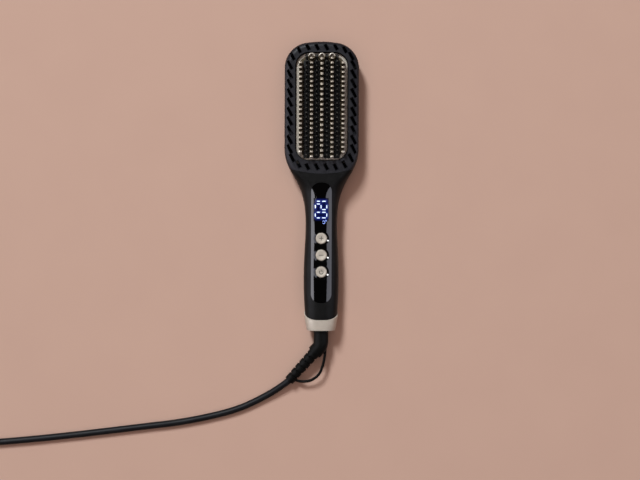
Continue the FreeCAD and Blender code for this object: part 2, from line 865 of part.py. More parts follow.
frame_wall = shared("frame_wall", opening_prism("frame_lip", S.opening_rim,
                                                S.opening_rim_bottom, S.head_height),
                    outer_form)
frame_shell = cut("frame_shell", shared("frame_blank", outer_form, above_parting, frame_side),
                  inner_form)
front_frame = cut("front_frame_cut",
                  joined("frame_whole", frame_shell, frame_wall,
                         upper_bosses("frame_post", FRAME_SCREWS, S.frame_post_top),
                         post_ribs("frame_rib")),
                  opening_prism("comb_opening", term(0), S.parting_height, S.head_height),
                  pilot_holes("frame_pilot", FRAME_SCREWS), *slots("slot"))
node("front_frame", front_frame)

# ---------------------------------------------------------------- heating plate
OPENING_TOP = TIP - S.opening_tip_rim


def teeth_between(first_y, pitch):
    """How many teeth fit between the first and the opening's end."""
    room = float(OPENING_TOP - S.tooth_end_room - first_y)
    return int(room / float(pitch)) + 1


CENTRE_START = S.tooth_first_y + S.centre_tooth_shift
INNER_COLUMN = (S.tooth_first_y, S.tooth_pitch, teeth_between(S.tooth_first_y, S.tooth_pitch))
OUTER_COLUMN = (S.tooth_first_y + S.tooth_pitch, S.tooth_pitch, INNER_COLUMN[2] - 2)
CENTRE_COLUMN = (CENTRE_START, S.centre_tooth_pitch,
                 teeth_between(CENTRE_START, S.centre_tooth_pitch))
INNER_COLUMNS = {-1: INNER_COLUMN, 0: CENTRE_COLUMN, 1: INNER_COLUMN}


def trapezoid(sketch, foot, top, height):
    """Symmetric trapezoid standing on the sketch's X axis."""
    low, high, rise = float(foot) / 2, float(top) / 2, float(height)
    corners = [(-low, 0), (low, 0), (high, rise), (-high, rise)]
    for start, end in zip(corners, corners[1:] + corners[:1]):
        sketch.addGeometry(segment(*start, *end), False)
    for edge in range(4):
        sketch.addConstraint(Sketcher.Constraint("Coincident", edge, 2, (edge + 1) % 4, 1))
    sketch.addConstraint([
        Sketcher.Constraint("PointOnObject", 0, 1, -1),
        Sketcher.Constraint("Symmetric", 0, 1, 0, 2, -2),
        Sketcher.Constraint("Symmetric", 2, 1, 2, 2, -2),
    ])
    dimension(sketch, "foot", "DistanceX", 0, 1, 0, 2, foot)
    dimension(sketch, "top", "DistanceX", 2, 2, 2, 1, top)
    dimension(sketch, "height", "DistanceY", 0, 2, 2, 1, height)


def repeat_along_y(body, feature, count, pitch):
    """Linear pattern of one feature along the body's Y axis."""
    pattern = body.newObject("PartDesign::LinearPattern", body.Name + "_pattern")
    pattern.Originals = [feature]
    axis = [line for line in body.Origin.OriginFeatures if line.Role == "Y_Axis"][0]
    pattern.Direction = (axis, [""])
    pattern.Occurrences = count
    bind(pattern, "Length", (count - 1) * pitch)
    body.Tip = pattern
    return pattern


def tooth_column(x, first_y, pitch, count):
    """Fin of the plate, notched into a row of teeth by tapering gaps."""
    body = new_body("tooth_column")
    start = first_y - pitch / 2
    root = S.plate_top - S.root_depth
    height = S.tooth_top - root
    fin = sketch_on(body, "XZ_Plane", x, root, -(start + count * pitch))
    trapezoid(fin, S.tooth_foot_width, S.tooth_tip_width, height)
    pad(body, fin, count * pitch)
    doc.recompute()
    notch = sketch_on(body, "YZ_Plane", start, S.tooth_top - S.notch_depth, x)
    trapezoid(notch, S.notch_floor, S.notch_mouth, S.notch_depth)
    gap = body.newObject("PartDesign::Pocket", "notch")
    gap.Profile = notch
    gap.Midplane = True
    bind(gap, "Length", 2 * S.tooth_foot_width)
    repeat_along_y(body, gap, count + 1, pitch)
    return body


def end_ring(index):
    """Round-edged ring cast on the end of a fin, towards the head's tip."""
    x, y = index * S.column_pitch, OPENING_TOP - S.end_ring_room
    root, edge = S.plate_top - S.root_depth, S.end_ring_thickness
    wall = tube("end_ring_wall", x, y, root, S.end_ring_radius + edge,
                S.end_ring_radius - edge, S.end_ring_top - edge - root)
    crown = doc.addObject("Part::Torus", "end_ring_crown")
    bind(crown, "Radius1", S.end_ring_radius)
    bind(crown, "Radius2", edge)
    return [wall, place(crown, x, y, S.end_ring_top - edge)]


def strip_bar(name, x, gap):
    """Foot of a bristle strip, let into the plate's face, with a tongue between the rings."""
    low, rise = S.plate_top - S.strip_sunk, S.strip_sunk + S.strip_rise
    wide = box(name + "_wide", x - S.strip_width / 2 - gap, S.strip_start_y - gap, low,
               S.strip_width + 2 * gap, STRIP_LENGTH + 2 * gap, rise)
    tongue = box(name + "_tongue", x - S.strip_tongue_width / 2 - gap,
                 S.strip_start_y - gap, low, S.strip_tongue_width + 2 * gap,
                 STRIP_LENGTH + S.strip_tongue_length + 2 * gap, rise)
    return joined(name, wide, tongue)


STRIP_PINS = INNER_COLUMN[2]
STRIP_LENGTH = (STRIP_PINS - 1) * S.tooth_pitch
STRIP_XS = [(index + 0.5) * S.column_pitch for index in range(-2, 2)]
SLAB_BOTTOM = S.flange_bottom + S.flange_thickness
plate_slab = opening_prism("plate_slab", -S.plate_gap, S.flange_bottom,
                           S.plate_top - S.flange_bottom)
plate_face = float(S.plate_top)
doc.recompute()
round_edges(plate_slab, plate_slab.Tip, lambda point, edge: abs(point.z - plate_face) < 0.01,
            S.plate_edge)
plate_parts = [
    opening_prism("plate_flange", S.flange_reach, S.flange_bottom, S.flange_thickness),
    plate_slab,
]
for side in (-1, 1):
    plate_parts.append(tooth_column(side * S.outer_column_x, *OUTER_COLUMN))
for index, column in INNER_COLUMNS.items():
    plate_parts.append(tooth_column(index * S.column_pitch, *column))
    plate_parts.extend(end_ring(index))
for x in STRIP_XS[1:3]:
    pip = doc.addObject("Part::Sphere", "plate_pip")
    bind(pip, "Radius", S.pip_radius)
    plate_parts.append(place(pip, x, S.strip_start_y - S.strip_fit - S.pip_radius,
                             S.plate_top - S.pip_radius / 4))
grooves = group("strip_grooves", [strip_bar("strip_groove", x, S.strip_fit) for x in STRIP_XS])
node("heating_plate", cut("heating_plate_cut", joined("plate_whole", *plate_parts), grooves))


def bristle_row(label, x):
    """Strip of heat-proof bristles that keep the hot teeth off the scalp."""
    body = new_body(label + "_pins")
    base = S.plate_top + S.strip_rise
    pin = sketch_on(body, "XZ_Plane", x, base, -(S.strip_start_y + S.tooth_pitch / 2))
    bristle_profile(pin, S.bristle_root, S.bristle_tip, S.bristle_top - base, S.bristle_cone)
    turned = body.newObject("PartDesign::Revolution", "bristle")
    turned.Profile = pin
    turned.ReferenceAxis = (pin, ["V_Axis"])
    turned.Angle = 360
    repeat_along_y(body, turned, STRIP_PINS, S.tooth_pitch)
    return node(label, joined(label + "_whole", strip_bar(label + "_foot", x, term(0)), body))


def bristle_profile(sketch, root, tip, height, cone):
    """Half outline of a bristle: a long taper with a blunt cone on its tip."""
    corners = [(0, 0), (float(root), 0), (float(tip), float(height - cone)),
               (float(tip) / 2, float(height)), (0, float(height))]
    for start, end in zip(corners, corners[1:] + corners[:1]):
        sketch.addGeometry(segment(*start, *end), False)
    for edge in range(5):
        sketch.addConstraint(Sketcher.Constraint("Coincident", edge, 2, (edge + 1) % 5, 1))
    sketch.addConstraint([
        Sketcher.Constraint("Coincident", 0, 1, -1, 1),
        Sketcher.Constraint("Horizontal", 0),
        Sketcher.Constraint("Horizontal", 3),
        Sketcher.Constraint("Vertical", 4),
    ])
    dimension(sketch, "root", "DistanceX", 0, 1, 0, 2, root)
    dimension(sketch, "tip", "DistanceX", -1, 1, 1, 2, tip)
    dimension(sketch, "crown", "DistanceX", 3, 2, 3, 1, tip / 2)
    dimension(sketch, "height", "DistanceY", -1, 1, 3, 2, height)
    dimension(sketch, "cone", "DistanceY", 1, 2, 3, 1, cone)


for number, x in enumerate(STRIP_XS, start=1):
    bristle_row("bristle_row_%d" % number, x)

# ---------------------------------------------------------------- under the plate
node("plate_seal", cut("seal",
                       opening_prism("seal_outside", S.flange_reach, SLAB_BOTTOM,
                                     S.opening_rim_bottom - SLAB_BOTTOM),
                       opening_prism("seal_inside", -S.plate_gap, S.flange_bottom,
                                     S.plate_top - S.flange_bottom)))

HEATER_START = S.heater_start_y
HEATER_LENGTH = OPENING_TOP - S.heater_end_room - HEATER_START
HEATER_MIDDLE = HEATER_START + HEATER_LENGTH / 2
HEATER_BOTTOM = S.flange_bottom - S.heater_thickness
INSULATOR_BOTTOM = HEATER_BOTTOM - S.insulator_thickness
CLAMP_BOTTOM = INSULATOR_BOTTOM - S.clamp_thickness
node("ptc_heater", box("heater", -S.heater_width / 2, HEATER_START, HEATER_BOTTOM,
                       S.heater_width, HEATER_LENGTH, S.heater_thickness))
node("heater_insulator", box("insulator", -S.heater_width / 2, HEATER_START, INSULATOR_BOTTOM,
                             S.heater_width, HEATER_LENGTH, S.insulator_thickness))


def heater_clamp():
    """Spring channel that presses the heater against the plate by its two flanges."""
    channel = S.heater_width / 2 + S.clamp_play
    length = HEATER_LENGTH - 2 * S.clamp_play
    start = HEATER_START + S.clamp_play
    web = box("clamp_web", -channel - S.clamp_thickness, start, CLAMP_BOTTOM,
              2 * (channel + S.clamp_thickness), length, S.clamp_thickness)
    sides = []
    for side in (-1, 1):
        sides.append(box("clamp_side", side * channel + (side - 1) / 2 * S.clamp_thickness,
                         start, CLAMP_BOTTOM, S.clamp_thickness, length,
                         S.flange_bottom - CLAMP_BOTTOM))
        sides.append(box("clamp_flange", side * channel + (side - 1) / 2 * S.clamp_reach,
                         start, S.flange_bottom - S.clamp_thickness, S.clamp_reach, length,
                         S.clamp_thickness))
    return joined("clamp", web, *sides)


node("heater_clamp", heater_clamp())
node("steam_chamber", box("chamber", -S.chamber_width / 2,
                          S.chamber_centre_y - S.chamber_length / 2,
                          S.flange_bottom - S.chamber_depth, S.chamber_width,
                          S.chamber_length, S.chamber_depth))
node("thermistor", rod("thermistor_bead", S.sensor_x, HEATER_MIDDLE,
                       S.flange_bottom - S.thermistor_radius, S.thermistor_radius,
                       S.thermistor_length, ALONG_Y))
node("thermal_fuse", rod("fuse_body", -S.sensor_x, HEATER_MIDDLE,
                         S.flange_bottom - S.fuse_radius, S.fuse_radius, S.fuse_length,
                         ALONG_Y))
node("heat_shield", cut("shield",
                        box("shield_sheet", -S.shield_half_width, S.shield_start_y,
                            S.shield_height, 2 * S.shield_half_width,
                            TANK_SEAM - S.shield_start_y - S.shield_end_gap,
                            S.shield_thickness),
                        rod("shield_hole", 0, S.chamber_centre_y, 0,
                            S.tube_radius + S.tank_gap, REACH)))

# ---------------------------------------------------------------- water tank and pump
TANK_START = S.tank_inner_y
TANK_LENGTH = TANK_SEAM + S.tank_gap - TANK_START
FILLER_Y = TANK_SEAM - S.filler_from_seam
WATER_AXIS = S.tank_bottom + S.tank_height / 2


def water_tank():
    """Moulded box, rounded along its length, with a filler hole in its upper wall."""
    body = new_body("tank_body")
    outline = sketch_on(body, "XZ_Plane", 0, S.tank_bottom, -(TANK_START + TANK_LENGTH))
    rounded_rectangle(outline, S.tank_width, S.tank_height, S.tank_round, S.tank_round)
    pad(body, outline, TANK_LENGTH)
    inside = new_body("tank_inside")
    hollow = sketch_on(inside, "XZ_Plane", 0, S.tank_bottom + S.tank_wall,
                       -(TANK_START + TANK_LENGTH - S.tank_wall))
    rounded_rectangle(hollow, S.tank_width - 2 * S.tank_wall, S.tank_height - 2 * S.tank_wall,
                      S.tank_round - S.tank_wall, S.tank_round - S.tank_wall)
    pad(inside, hollow, TANK_LENGTH - 2 * S.tank_wall)
    filler = rod("filler_hole", 0, FILLER_Y, WATER_AXIS, S.filler_radius, S.tank_height)
    return cut("tank", body, inside, filler)


node("water_tank", water_tank())
TANK_TOP = S.tank_bottom + S.tank_height
node("filler_plug", joined("plug_whole",
                           rod("plug_stem", 0, FILLER_Y, TANK_TOP - S.tank_wall,
                               S.filler_radius, S.tank_wall),
                           rod("plug_cap", 0, FILLER_Y, TANK_TOP,
                               S.filler_radius + S.plug_overlap, S.plug_overlap / 2)))
cap_space = box("cap_space", -REACH / 2, TANK_SEAM + S.tank_gap, -REACH / 2, REACH, REACH,
                REACH / 2 + S.parting_height - S.tank_gap)
cap_hollow = shared("cap_hollow", inner_form,
                    box("cap_room", -REACH / 2, TANK_SEAM + S.tank_gap + S.wall,
                        -REACH / 2, REACH, REACH, REACH))
node("tank_cap", cut("cap_moulding", shared("cap_blank", outer_form, cap_space), cap_hollow))
node("tank_valve", tube("valve", 0, TANK_START - S.valve_length, WATER_AXIS, S.valve_radius,
                        S.tube_bore, S.valve_length, ALONG_Y))
PUMP_END = S.pump_y + S.pump_length
node("tank_inlet_seal", tube("inlet_seal", 0, PUMP_END + S.nozzle_length, WATER_AXIS,
                             S.seal_radius, S.valve_radius + S.valve_fit,
                             TANK_START - PUMP_END - S.nozzle_length - S.tank_gap, ALONG_Y))
node("pump", joined("pump_whole",
                    box("pump_case", -S.pump_width / 2, S.pump_y, S.pump_bottom, S.pump_width,
                        S.pump_length, S.pump_height),
                    rod("pump_nozzle", 0, PUMP_END, WATER_AXIS, S.seal_radius,
                        S.nozzle_length, ALONG_Y)))
node("feed_tube", tube("feed", 0, S.chamber_centre_y, S.pump_bottom + S.pump_height,
                       S.tube_radius, S.tube_bore,
                       S.flange_bottom - S.chamber_depth - S.pump_bottom - S.pump_height))

# ---------------------------------------------------------------- control panel and buttons
BUTTONS = {"plus_button": 0, "minus_button": 1, "power_button": 2}
PANEL_CREST = S.waist_top + S.panel_proud


def button_y(index):
    return S.button_first_y - index * S.button_pitch


def ball_over(name, y, bottom, radius):
    """Ball whose lowest point is over the handle's middle line."""
    ball = doc.addObject("Part::Sphere", name)
    bind(ball, "Radius", radius)
    return place(ball, 0, y, bottom + radius)


panel_blank = shared("panel_blank", panel_outline("panel_prism", term(0)),
                     form_lifted("panel_face", S.panel_proud))
panel_tools = []
for index in BUTTONS.values():
    panel_tools.append(shared("dish", rod("dish_rim", 0, button_y(index), 0, S.dish_radius,
                                          REACH),
                              ball_over("dish_ball", button_y(index),
                                        PANEL_CREST - S.dish_sink, S.dish_ball)))
    panel_tools.append(rod("button_hole", 0, button_y(index), 0,
                           S.button_radius + S.button_gap, REACH))
node("control_panel", cut("panel", panel_blank,
                          form_lifted("panel_underside", -S.panel_thickness), *panel_tools))

BOARD_TOP = S.board_height + S.board_thickness
SWITCH_TOP = BOARD_TOP + S.switch_body + S.switch_nub_height
STEM_BOTTOM = SWITCH_TOP + S.button_travel + S.press_clearance
FLANGE_BOTTOM = S.button_flange_top - S.button_flange_thickness


def button(label, y):
    """Cap with a retaining flange under the panel and a stem over its switch."""
    cap = rod("button_cap", 0, y, FLANGE_BOTTOM, S.button_radius,
              S.button_top - FLANGE_BOTTOM)
    doc.recompute()
    crown = doc.addObject("Part::Fillet", "button_crown")
    crown.Base = cap
    top = float(S.button_top)
    rim = named_edges(cap.Shape, lambda point, edge: abs(point.z - top) < 0.01)
    radius = float(S.button_edge)
    crown.Edges = [(int(name[4:]), radius, radius) for name in rim]
    reach, depth = S.button_dip_radius, S.button_dip_depth
    dished = cut("button_face", crown, ball_over("button_dip", y, S.button_top - depth,
                                                 (reach * reach + depth * depth) / (2 * depth)))
    stem = rod("button_stem", 0, y, STEM_BOTTOM, S.button_stem_radius,
               FLANGE_BOTTOM - STEM_BOTTOM)
    flange = rod("button_flange", 0, y, FLANGE_BOTTOM, S.button_flange_radius,
                 S.button_flange_thickness)
    return node(label, joined(label + "_whole", dished, flange, stem))


for label, index in BUTTONS.items():
    button(label, button_y(index))

# ---------------------------------------------------------------- electronics
switches = []
for index in BUTTONS.values():
    y, side = button_y(index), S.switch_side
    switches.append(joined("switch", box("switch_body", -side / 2, y - side / 2, BOARD_TOP,
                                         side, side, S.switch_body),
                           rod("switch_nub", 0, y, BOARD_TOP, S.switch_nub,
                               S.switch_body + S.switch_nub_height)))
node("tact_switches", group("switches", switches))
node("circuit_board", box("board", -S.board_width / 2, BOARD_END, S.board_height,
                          S.board_width, S.board_top_y - BOARD_END, S.board_thickness))
node("led_display", box("display", -S.display_width / 2,
                        S.display_centre_y - S.display_length / 2, BOARD_TOP,
                        S.display_width, S.display_length, S.display_height))
node("power_board", box("supply_board", -S.board_width / 2, POWER_START,
                        S.power_board_height, S.board_width, S.power_board_length,
                        S.board_thickness))
node("filter_capacitor", rod("capacitor", 0, POWER_MIDDLE,
                             S.power_board_height + S.board_thickness + S.capacitor_radius,
                             S.capacitor_radius, S.capacitor_length, ALONG_Y))

# ---------------------------------------------------------------- end cap and swivel
INNER_END = CAP_END + S.cap_end_wall
cap_cavity = shared("cap_cavity", lofted("cap_inside", CAP, S.cap_wall),
                    box("cap_cavity_length", -REACH / 2, INNER_END, -REACH / 2, REACH, REACH,
                        REACH))
cap_bore = rod("cap_bore", 0, CAP_END - S.cap_end_wall, S.swivel_height,
               S.neck_radius + S.neck_gap, 3 * S.cap_end_wall, ALONG_Y)
cap_blank = shared("end_cap_blank", lofted("cap_outside", CAP, term(0)),
                   slanted_block("cap_side", -S.seam_gap))
node("end_cap", cut("end_cap_cut", cap_blank, cap_cavity, cap_bore))
node("swivel_bush", tube("bush", 0, INNER_END, S.swivel_height, S.bush_radius,
                         S.neck_radius + S.bush_fit, S.bush_length, ALONG_Y))
FLANGE_START = INNER_END + S.bush_length + S.seam_gap
FLANGE_END = FLANGE_START + S.swivel_flange_length
node("slip_disc", rod("disc", 0, FLANGE_END + S.seam_gap, S.swivel_height,
                      S.swivel_flange_radius, S.slip_disc_length, ALONG_Y))

node("housing_screws", screw_set("housing_screw", HANDLE_SCREWS))
node("frame_screws", screw_set("frame_screw", FRAME_SCREWS))

# ---------------------------------------------------------------- mains cord
GUARD_BEND = Vector(0, float(CAP_END - S.guard_neck_length), float(S.swivel_height))
GUARD_TIP = GUARD_BEND + Vector(-30.1, -34, -6.9)

# The rest of the lead lies on the surface under the brush, counted from the end cap's end.
LEAD_START = Vector(0, float(CAP_END), 0)
COIL_CENTRE = LEAD_START + Vector(-376, -67.5, 0)
PLUG_AXIS = LEAD_START + Vector(-414, -3.5, float(S.plug_thickness) / 2)

# Points that the cord passes, from the guard's tip to the coil's outermost turn.
CORD_ROUTE = [GUARD_TIP] + [LEAD_START + Vector(*step) for step in (
    (-41.4, -56.9, 5.0),
    (-56.5, -65.1, 3.5),
    (-77.6, -75.0, 3.2),
    (-104.2, -83.1, 3.2),
    (-135.6, -89.5, 3.2),
    (-172.0, -93.8, 3.2),
    (-214.0, -99.1, 3.2),
    (-258.0, -104.5, 3.2),
    (-300.0, -108.5, 3.2),
    (-338.0, -111.4, 3.2),
    (-362.0, -112.4, 3.2),
)]
# From the coil's last turn to the plug.
TAIL_ROUTE = [LEAD_START + Vector(*step) for step in (
    (-417.6, -49.5, 8.2),
    (-416.6, -35.5, 7.5),
    (-414.6, -19.5, 7.0),
)] + [PLUG_AXIS]
# Hanging loop, from the neck's side round to the guard's tip, counted from the bend.
LOOP_ROUTE = [GUARD_BEND + Vector(*step) for step in (
    (4.6, 5, -0.5),
    (4.2, -6, -1.1),
    (2.4, -18, -2.5),
    (-1.4, -28.4, -4.1),
    (-9.6, -34.4, -5.5),
    (-19.6, -35.4, -6.5),
    (-27.8, -32.2, -6.9),
)]


def route(points):
    """Straight runs joined by tangent arcs, each as large as its two runs allow."""
    edges, radii = [], []
    start = points[0]
    for before, corner, after in zip(points, points[1:], points[2:]):
        back, ahead = before - corner, after - corner
        turn = math.pi - back.getAngle(ahead)
        trim = 0.45 * min(back.Length, ahead.Length)
        radius = trim / math.tan(turn / 2)
        back, ahead = back.normalize(), ahead.normalize()
        first, last = corner + back * trim, corner + ahead * trim
        inward = (back + ahead).normalize()
        middle = corner + inward * (math.hypot(trim, radius) - radius)
        edges.append(Part.LineSegment(start, first).toShape())
        edges.append(Part.Arc(first, middle, last).toShape())
        radii.append(radius)
        start = last
    edges.append(Part.LineSegment(start, points[-1]).toShape())
    return Part.Wire(edges), radii


def swept(name, points, radius):
    """Round tube along a route."""
    path, radii = route(points)
    radius = float(radius)
    circle = Part.Circle(points[0], points[1] - points[0], radius)
    solid = path.makePipeShell([Part.Wire(circle.toShape())], True, False)
    feature = doc.addObject("Part::Feature", name)
    feature.Shape = solid
    print("%s: length %.1f, tightest arc %.1f, volume over section x length %.4f"
          % (name, path.Length, min(radii), solid.Volume / (math.pi * radius ** 2 * path.Length)))
    return feature


def along(direction):
    """Rotation that turns Z to a direction."""
    return Rotation(Vector(0, 0, 1), direction)


def ribbed_sleeve():
    """Flexible end of the guard: ribs on a tapering core, laid along its own Z axis."""
    length = float((GUARD_TIP - GUARD_BEND).Length) - float(S.guard_sleeve_start)
    count = int(length // float(S.guard_rib_pitch))
    slope = (S.guard_root_radius - S.guard_tip_radius) / length
    pieces = []
    for index in range(count + 1):
        low = index * S.guard_rib_pitch
        high = low + S.guard_rib_pitch - S.guard_rib_gap if index < count else term(length)
        pieces.append(taper("guard_rib", 0, 0, low, S.guard_root_radius - slope * low,
                            S.guard_root_radius - slope * high, high - low))
    core = S.guard_rib_depth
    pieces.append(taper("guard_core", 0, 0, 0, S.guard_root_radius - core,
                        S.guard_tip_radius - core, length))
    windows = []
    for index in range(count):
        low = (index + 1) * S.guard_rib_pitch - S.guard_rib_gap
        windows.append(box("guard_window", -S.guard_window / 2, S.cord_radius, low,
                           S.guard_window, S.guard_root_radius, S.guard_rib_gap))
    return cut("guard_sleeve", joined("guard_ribs", *pieces), group("guard_windows", windows))


def cord_guard():
    """Rubber guard moulded on the cord: swivel flange, neck, bend and ribbed sleeve."""
    flange = rod("guard_flange", 0, FLANGE_START, S.swivel_height, S.swivel_flange_radius,
                 S.swivel_flange_length, ALONG_Y)
    direction = (GUARD_TIP - GUARD_BEND).normalize()
    sleeve_start = GUARD_BEND + direction * float(S.guard_sleeve_start)
    neck_start = Vector(0, float(FLANGE_END), float(S.swivel_height))
    bend = swept("guard_bend", [neck_start, GUARD_BEND, sleeve_start], S.neck_radius)
    sleeve = ribbed_sleeve()
    upward = Vector(0, 0, 1) - direction * direction.z
    across = upward.normalize().cross(direction)
    turn = FreeCAD.Matrix(across.x, upward.x, direction.x, sleeve_start.x,
                          across.y, upward.y, direction.y, sleeve_start.y,
                          across.z, upward.z, direction.z, sleeve_start.z, 0, 0, 0, 1)
    placed = doc.addObject("Part::Compound", "guard_sleeve_placed")
    placed.Links = [sleeve]
    placed.Placement = Placement(turn)
    return joined("guard", flange, bend, placed)


guard = node("cord_guard", cord_guard())
node("hang_loop", cut("loop", swept("loop_strap", LOOP_ROUTE, S.loop_radius), guard))
node("mains_cord", swept("mains_cord", CORD_ROUTE, S.cord_radius))
node("cord_tail", swept("cord_tail", TAIL_ROUTE, S.cord_radius))


def cord_coil():
    """Outer shape of the wound cord: a ring with a rounded band for its section."""
    body = new_body("coil")
    band = sketch_on(body, "XZ_Plane", S.coil_radius, 0, 0)
    rounded_rectangle(band, S.coil_band, S.coil_height, S.cord_radius, S.cord_radius)
    z_axis = [line for line in body.Origin.OriginFeatures if line.Role == "Z_Axis"][0]
    ring = body.newObject("PartDesign::Revolution", "coil_ring")
    ring.Profile = band
    ring.ReferenceAxis = (z_axis, [""])
    ring.Angle = 360
    body.Placement = Placement(COIL_CENTRE, Rotation())
    return body


node("cord_coil", cord_coil())

# ---------------------------------------------------------------- mains plug
PLUG_START = PLUG_AXIS.y + S.plug_relief_length
PLUG_FACE = PLUG_START + S.plug_nose + S.plug_length


def plug_body():
    """Flat two-pin plug: parallel at the pins, narrowing to the cord, all edges bevelled."""
    body = new_body("plug_moulding")
    outline = sketch_on(body, "XY_Plane", PLUG_AXIS.x, PLUG_START, 0)
    root, wide = float(S.plug_root_width) / 2, float(S.plug_width) / 2
    nose, length = float(S.plug_nose), float(S.plug_nose + S.plug_length)
    corners = [(-root, 0), (root, 0), (wide, nose), (wide, length), (-wide, length),
               (-wide, nose)]
    for start, end in zip(corners, corners[1:] + corners[:1]):
        outline.addGeometry(segment(*start, *end), False)
    for edge in range(6):
        outline.addConstraint(Sketcher.Constraint("Coincident", edge, 2, (edge + 1) % 6, 1))
    outline.addConstraint([
        Sketcher.Constraint("PointOnObject", 0, 1, -1),
        Sketcher.Constraint("Symmetric", 0, 1, 0, 2, -2),
        Sketcher.Constraint("Symmetric", 1, 2, 5, 1, -2),
        Sketcher.Constraint("Symmetric", 3, 1, 3, 2, -2),
        Sketcher.Constraint("Vertical", 2),
    ])
    dimension(outline, "root", "DistanceX", 0, 1, 0, 2, S.plug_root_width)
    dimension(outline, "wide", "DistanceX", 3, 2, 3, 1, S.plug_width)
    dimension(outline, "nose", "DistanceY", 0, 2, 1, 2, S.plug_nose)
    dimension(outline, "length", "DistanceY", 0, 2, 3, 1, S.plug_nose + S.plug_length)
    base = pad(body, outline, S.plug_thickness)
    doc.recompute()
    side, start, face = float(S.plug_width) / 2, float(PLUG_START), float(PLUG_FACE)
    bevel = body.newObject("PartDesign::Chamfer", "plug_bevel")
    edges = named_edges(base.Shape, lambda point, edge: abs(edge.tangentAt(
        edge.FirstParameter).z) < 0.01 and start + 0.01 < point.y < face - 0.01)
    bevel.Base = (base, edges)
    bind(bevel, "Size", S.plug_bevel)
    return body


relief = taper("plug_relief", PLUG_AXIS.x, PLUG_AXIS.y, S.plug_thickness / 2,
               S.cord_radius + S.plug_relief_wall, S.plug_relief_radius,
               S.plug_relief_length, ALONG_Y)
node("mains_plug", joined("plug", relief, plug_body()))
pins = [rod("pin", PLUG_AXIS.x + side * S.pin_spacing / 2, PLUG_FACE, S.plug_thickness / 2,
            S.pin_radius, S.pin_length, ALONG_Y) for side in (-1, 1)]
node("plug_pins", group("pins", pins))

# ---------------------------------------------------------------- check and write
doc.recompute()
for feature in doc.Objects:
    if "Invalid" in feature.State or "Error" in feature.State:
        raise RuntimeError("%s (%s) failed: %s" % (feature.Name, feature.Label, feature.State))
os.makedirs("parts", exist_ok=True)
for label, feature in NODES.items():
    shape = feature.Shape
    if shape.isNull() or not shape.isValid() or not shape.Solids:
        raise RuntimeError("%s has no valid solid" % label)
    shape.exportStep("parts/%s.step" % label)
print("%d sub-parts written" % len(NODES))
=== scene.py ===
"""Steam straightening brush on its back, with its lead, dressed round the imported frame."""
import math

import bpy
import numpy as np
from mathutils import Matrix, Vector


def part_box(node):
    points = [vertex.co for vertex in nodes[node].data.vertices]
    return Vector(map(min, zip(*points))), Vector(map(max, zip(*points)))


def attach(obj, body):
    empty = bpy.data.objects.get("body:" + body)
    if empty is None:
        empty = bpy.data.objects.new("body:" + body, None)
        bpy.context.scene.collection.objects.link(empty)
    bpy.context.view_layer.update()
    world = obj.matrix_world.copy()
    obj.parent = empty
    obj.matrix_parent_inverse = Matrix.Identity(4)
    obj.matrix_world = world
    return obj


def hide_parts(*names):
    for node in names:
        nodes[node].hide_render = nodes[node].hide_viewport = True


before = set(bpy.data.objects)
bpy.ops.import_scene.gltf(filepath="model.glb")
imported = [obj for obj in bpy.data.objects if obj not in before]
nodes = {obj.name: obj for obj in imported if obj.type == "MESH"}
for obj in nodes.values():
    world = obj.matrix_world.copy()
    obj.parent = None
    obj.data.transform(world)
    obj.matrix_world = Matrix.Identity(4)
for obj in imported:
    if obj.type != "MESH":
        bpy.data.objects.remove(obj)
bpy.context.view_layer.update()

MM = 0.001
scene = bpy.context.scene

# ---------------------------------------------------------------- studio
# A smooth pale card under the brush, the lens straight above it.  One soft lamp beyond the
# tip throws the short shadows and a wide ceiling fills them; two boards and a small spot
# lamp only show in the gloss.
CAMERA_PLACE = (-1.24 * MM, -50.8 * MM, 1.200)
CAMERA_ROLL = 0.2                 # degrees
LENS, SENSOR_WIDTH = 70.16, 36    # millimetres
CLIP_START = 0.05
lens = bpy.data.cameras.new("camera")
lens.lens = LENS
lens.sensor_width = SENSOR_WIDTH
lens.clip_start = CLIP_START
camera = bpy.data.objects.new("camera", lens)
camera.location = CAMERA_PLACE
camera.rotation_euler = (0, 0, math.radians(CAMERA_ROLL))
scene.collection.objects.link(camera)
scene.camera = camera

BRUSH_MIDDLE = (0, -0.03, 0.01)


def lamp(name, place, size, watts, colour=(1, 1, 1), gloss=True, diffuse=True):
    """Rectangular lamp that faces the brush; it may leave out the sheen it makes, or all
    but the sheen."""
    light = bpy.data.lights.new(name, "AREA")
    light.shape = "RECTANGLE"
    light.size, light.size_y = size
    light.energy = watts
    light.color = colour
    stand = bpy.data.objects.new(name, light)
    stand.location = place
    aim = Vector(BRUSH_MIDDLE) - Vector(place)
    stand.rotation_euler = aim.to_track_quat("-Z", "Y").to_euler()
    scene.collection.objects.link(stand)
    stand.visible_glossy = gloss
    stand.visible_diffuse = diffuse
    stand.visible_transmission = diffuse


lamp("key_lamp", place=(-1.90, 4.0, 5.04), size=(1.05, 1.82), watts=402,
     colour=(0.95, 1.02, 1.05))
lamp("ceiling", place=(0, -0.03, 2.4), size=(3.4, 3.4), watts=29, colour=(1, 0.79, 0.73),
     gloss=False)
lamp("left_board", place=(-0.933, -0.03, 0.512), size=(1.0, 1.2), watts=10.4,
     colour=(1.0, 0.985, 1.08), diffuse=False)
lamp("right_board", place=(0.828, -0.03, 0.719), size=(0.74, 1.4), watts=4.5,
     colour=(1.0, 1.0, 1.15), diffuse=False)
lamp("spot_lamp", place=(-1.55, 0.47, 3.15), size=(0.26, 0.50), watts=11, diffuse=False)


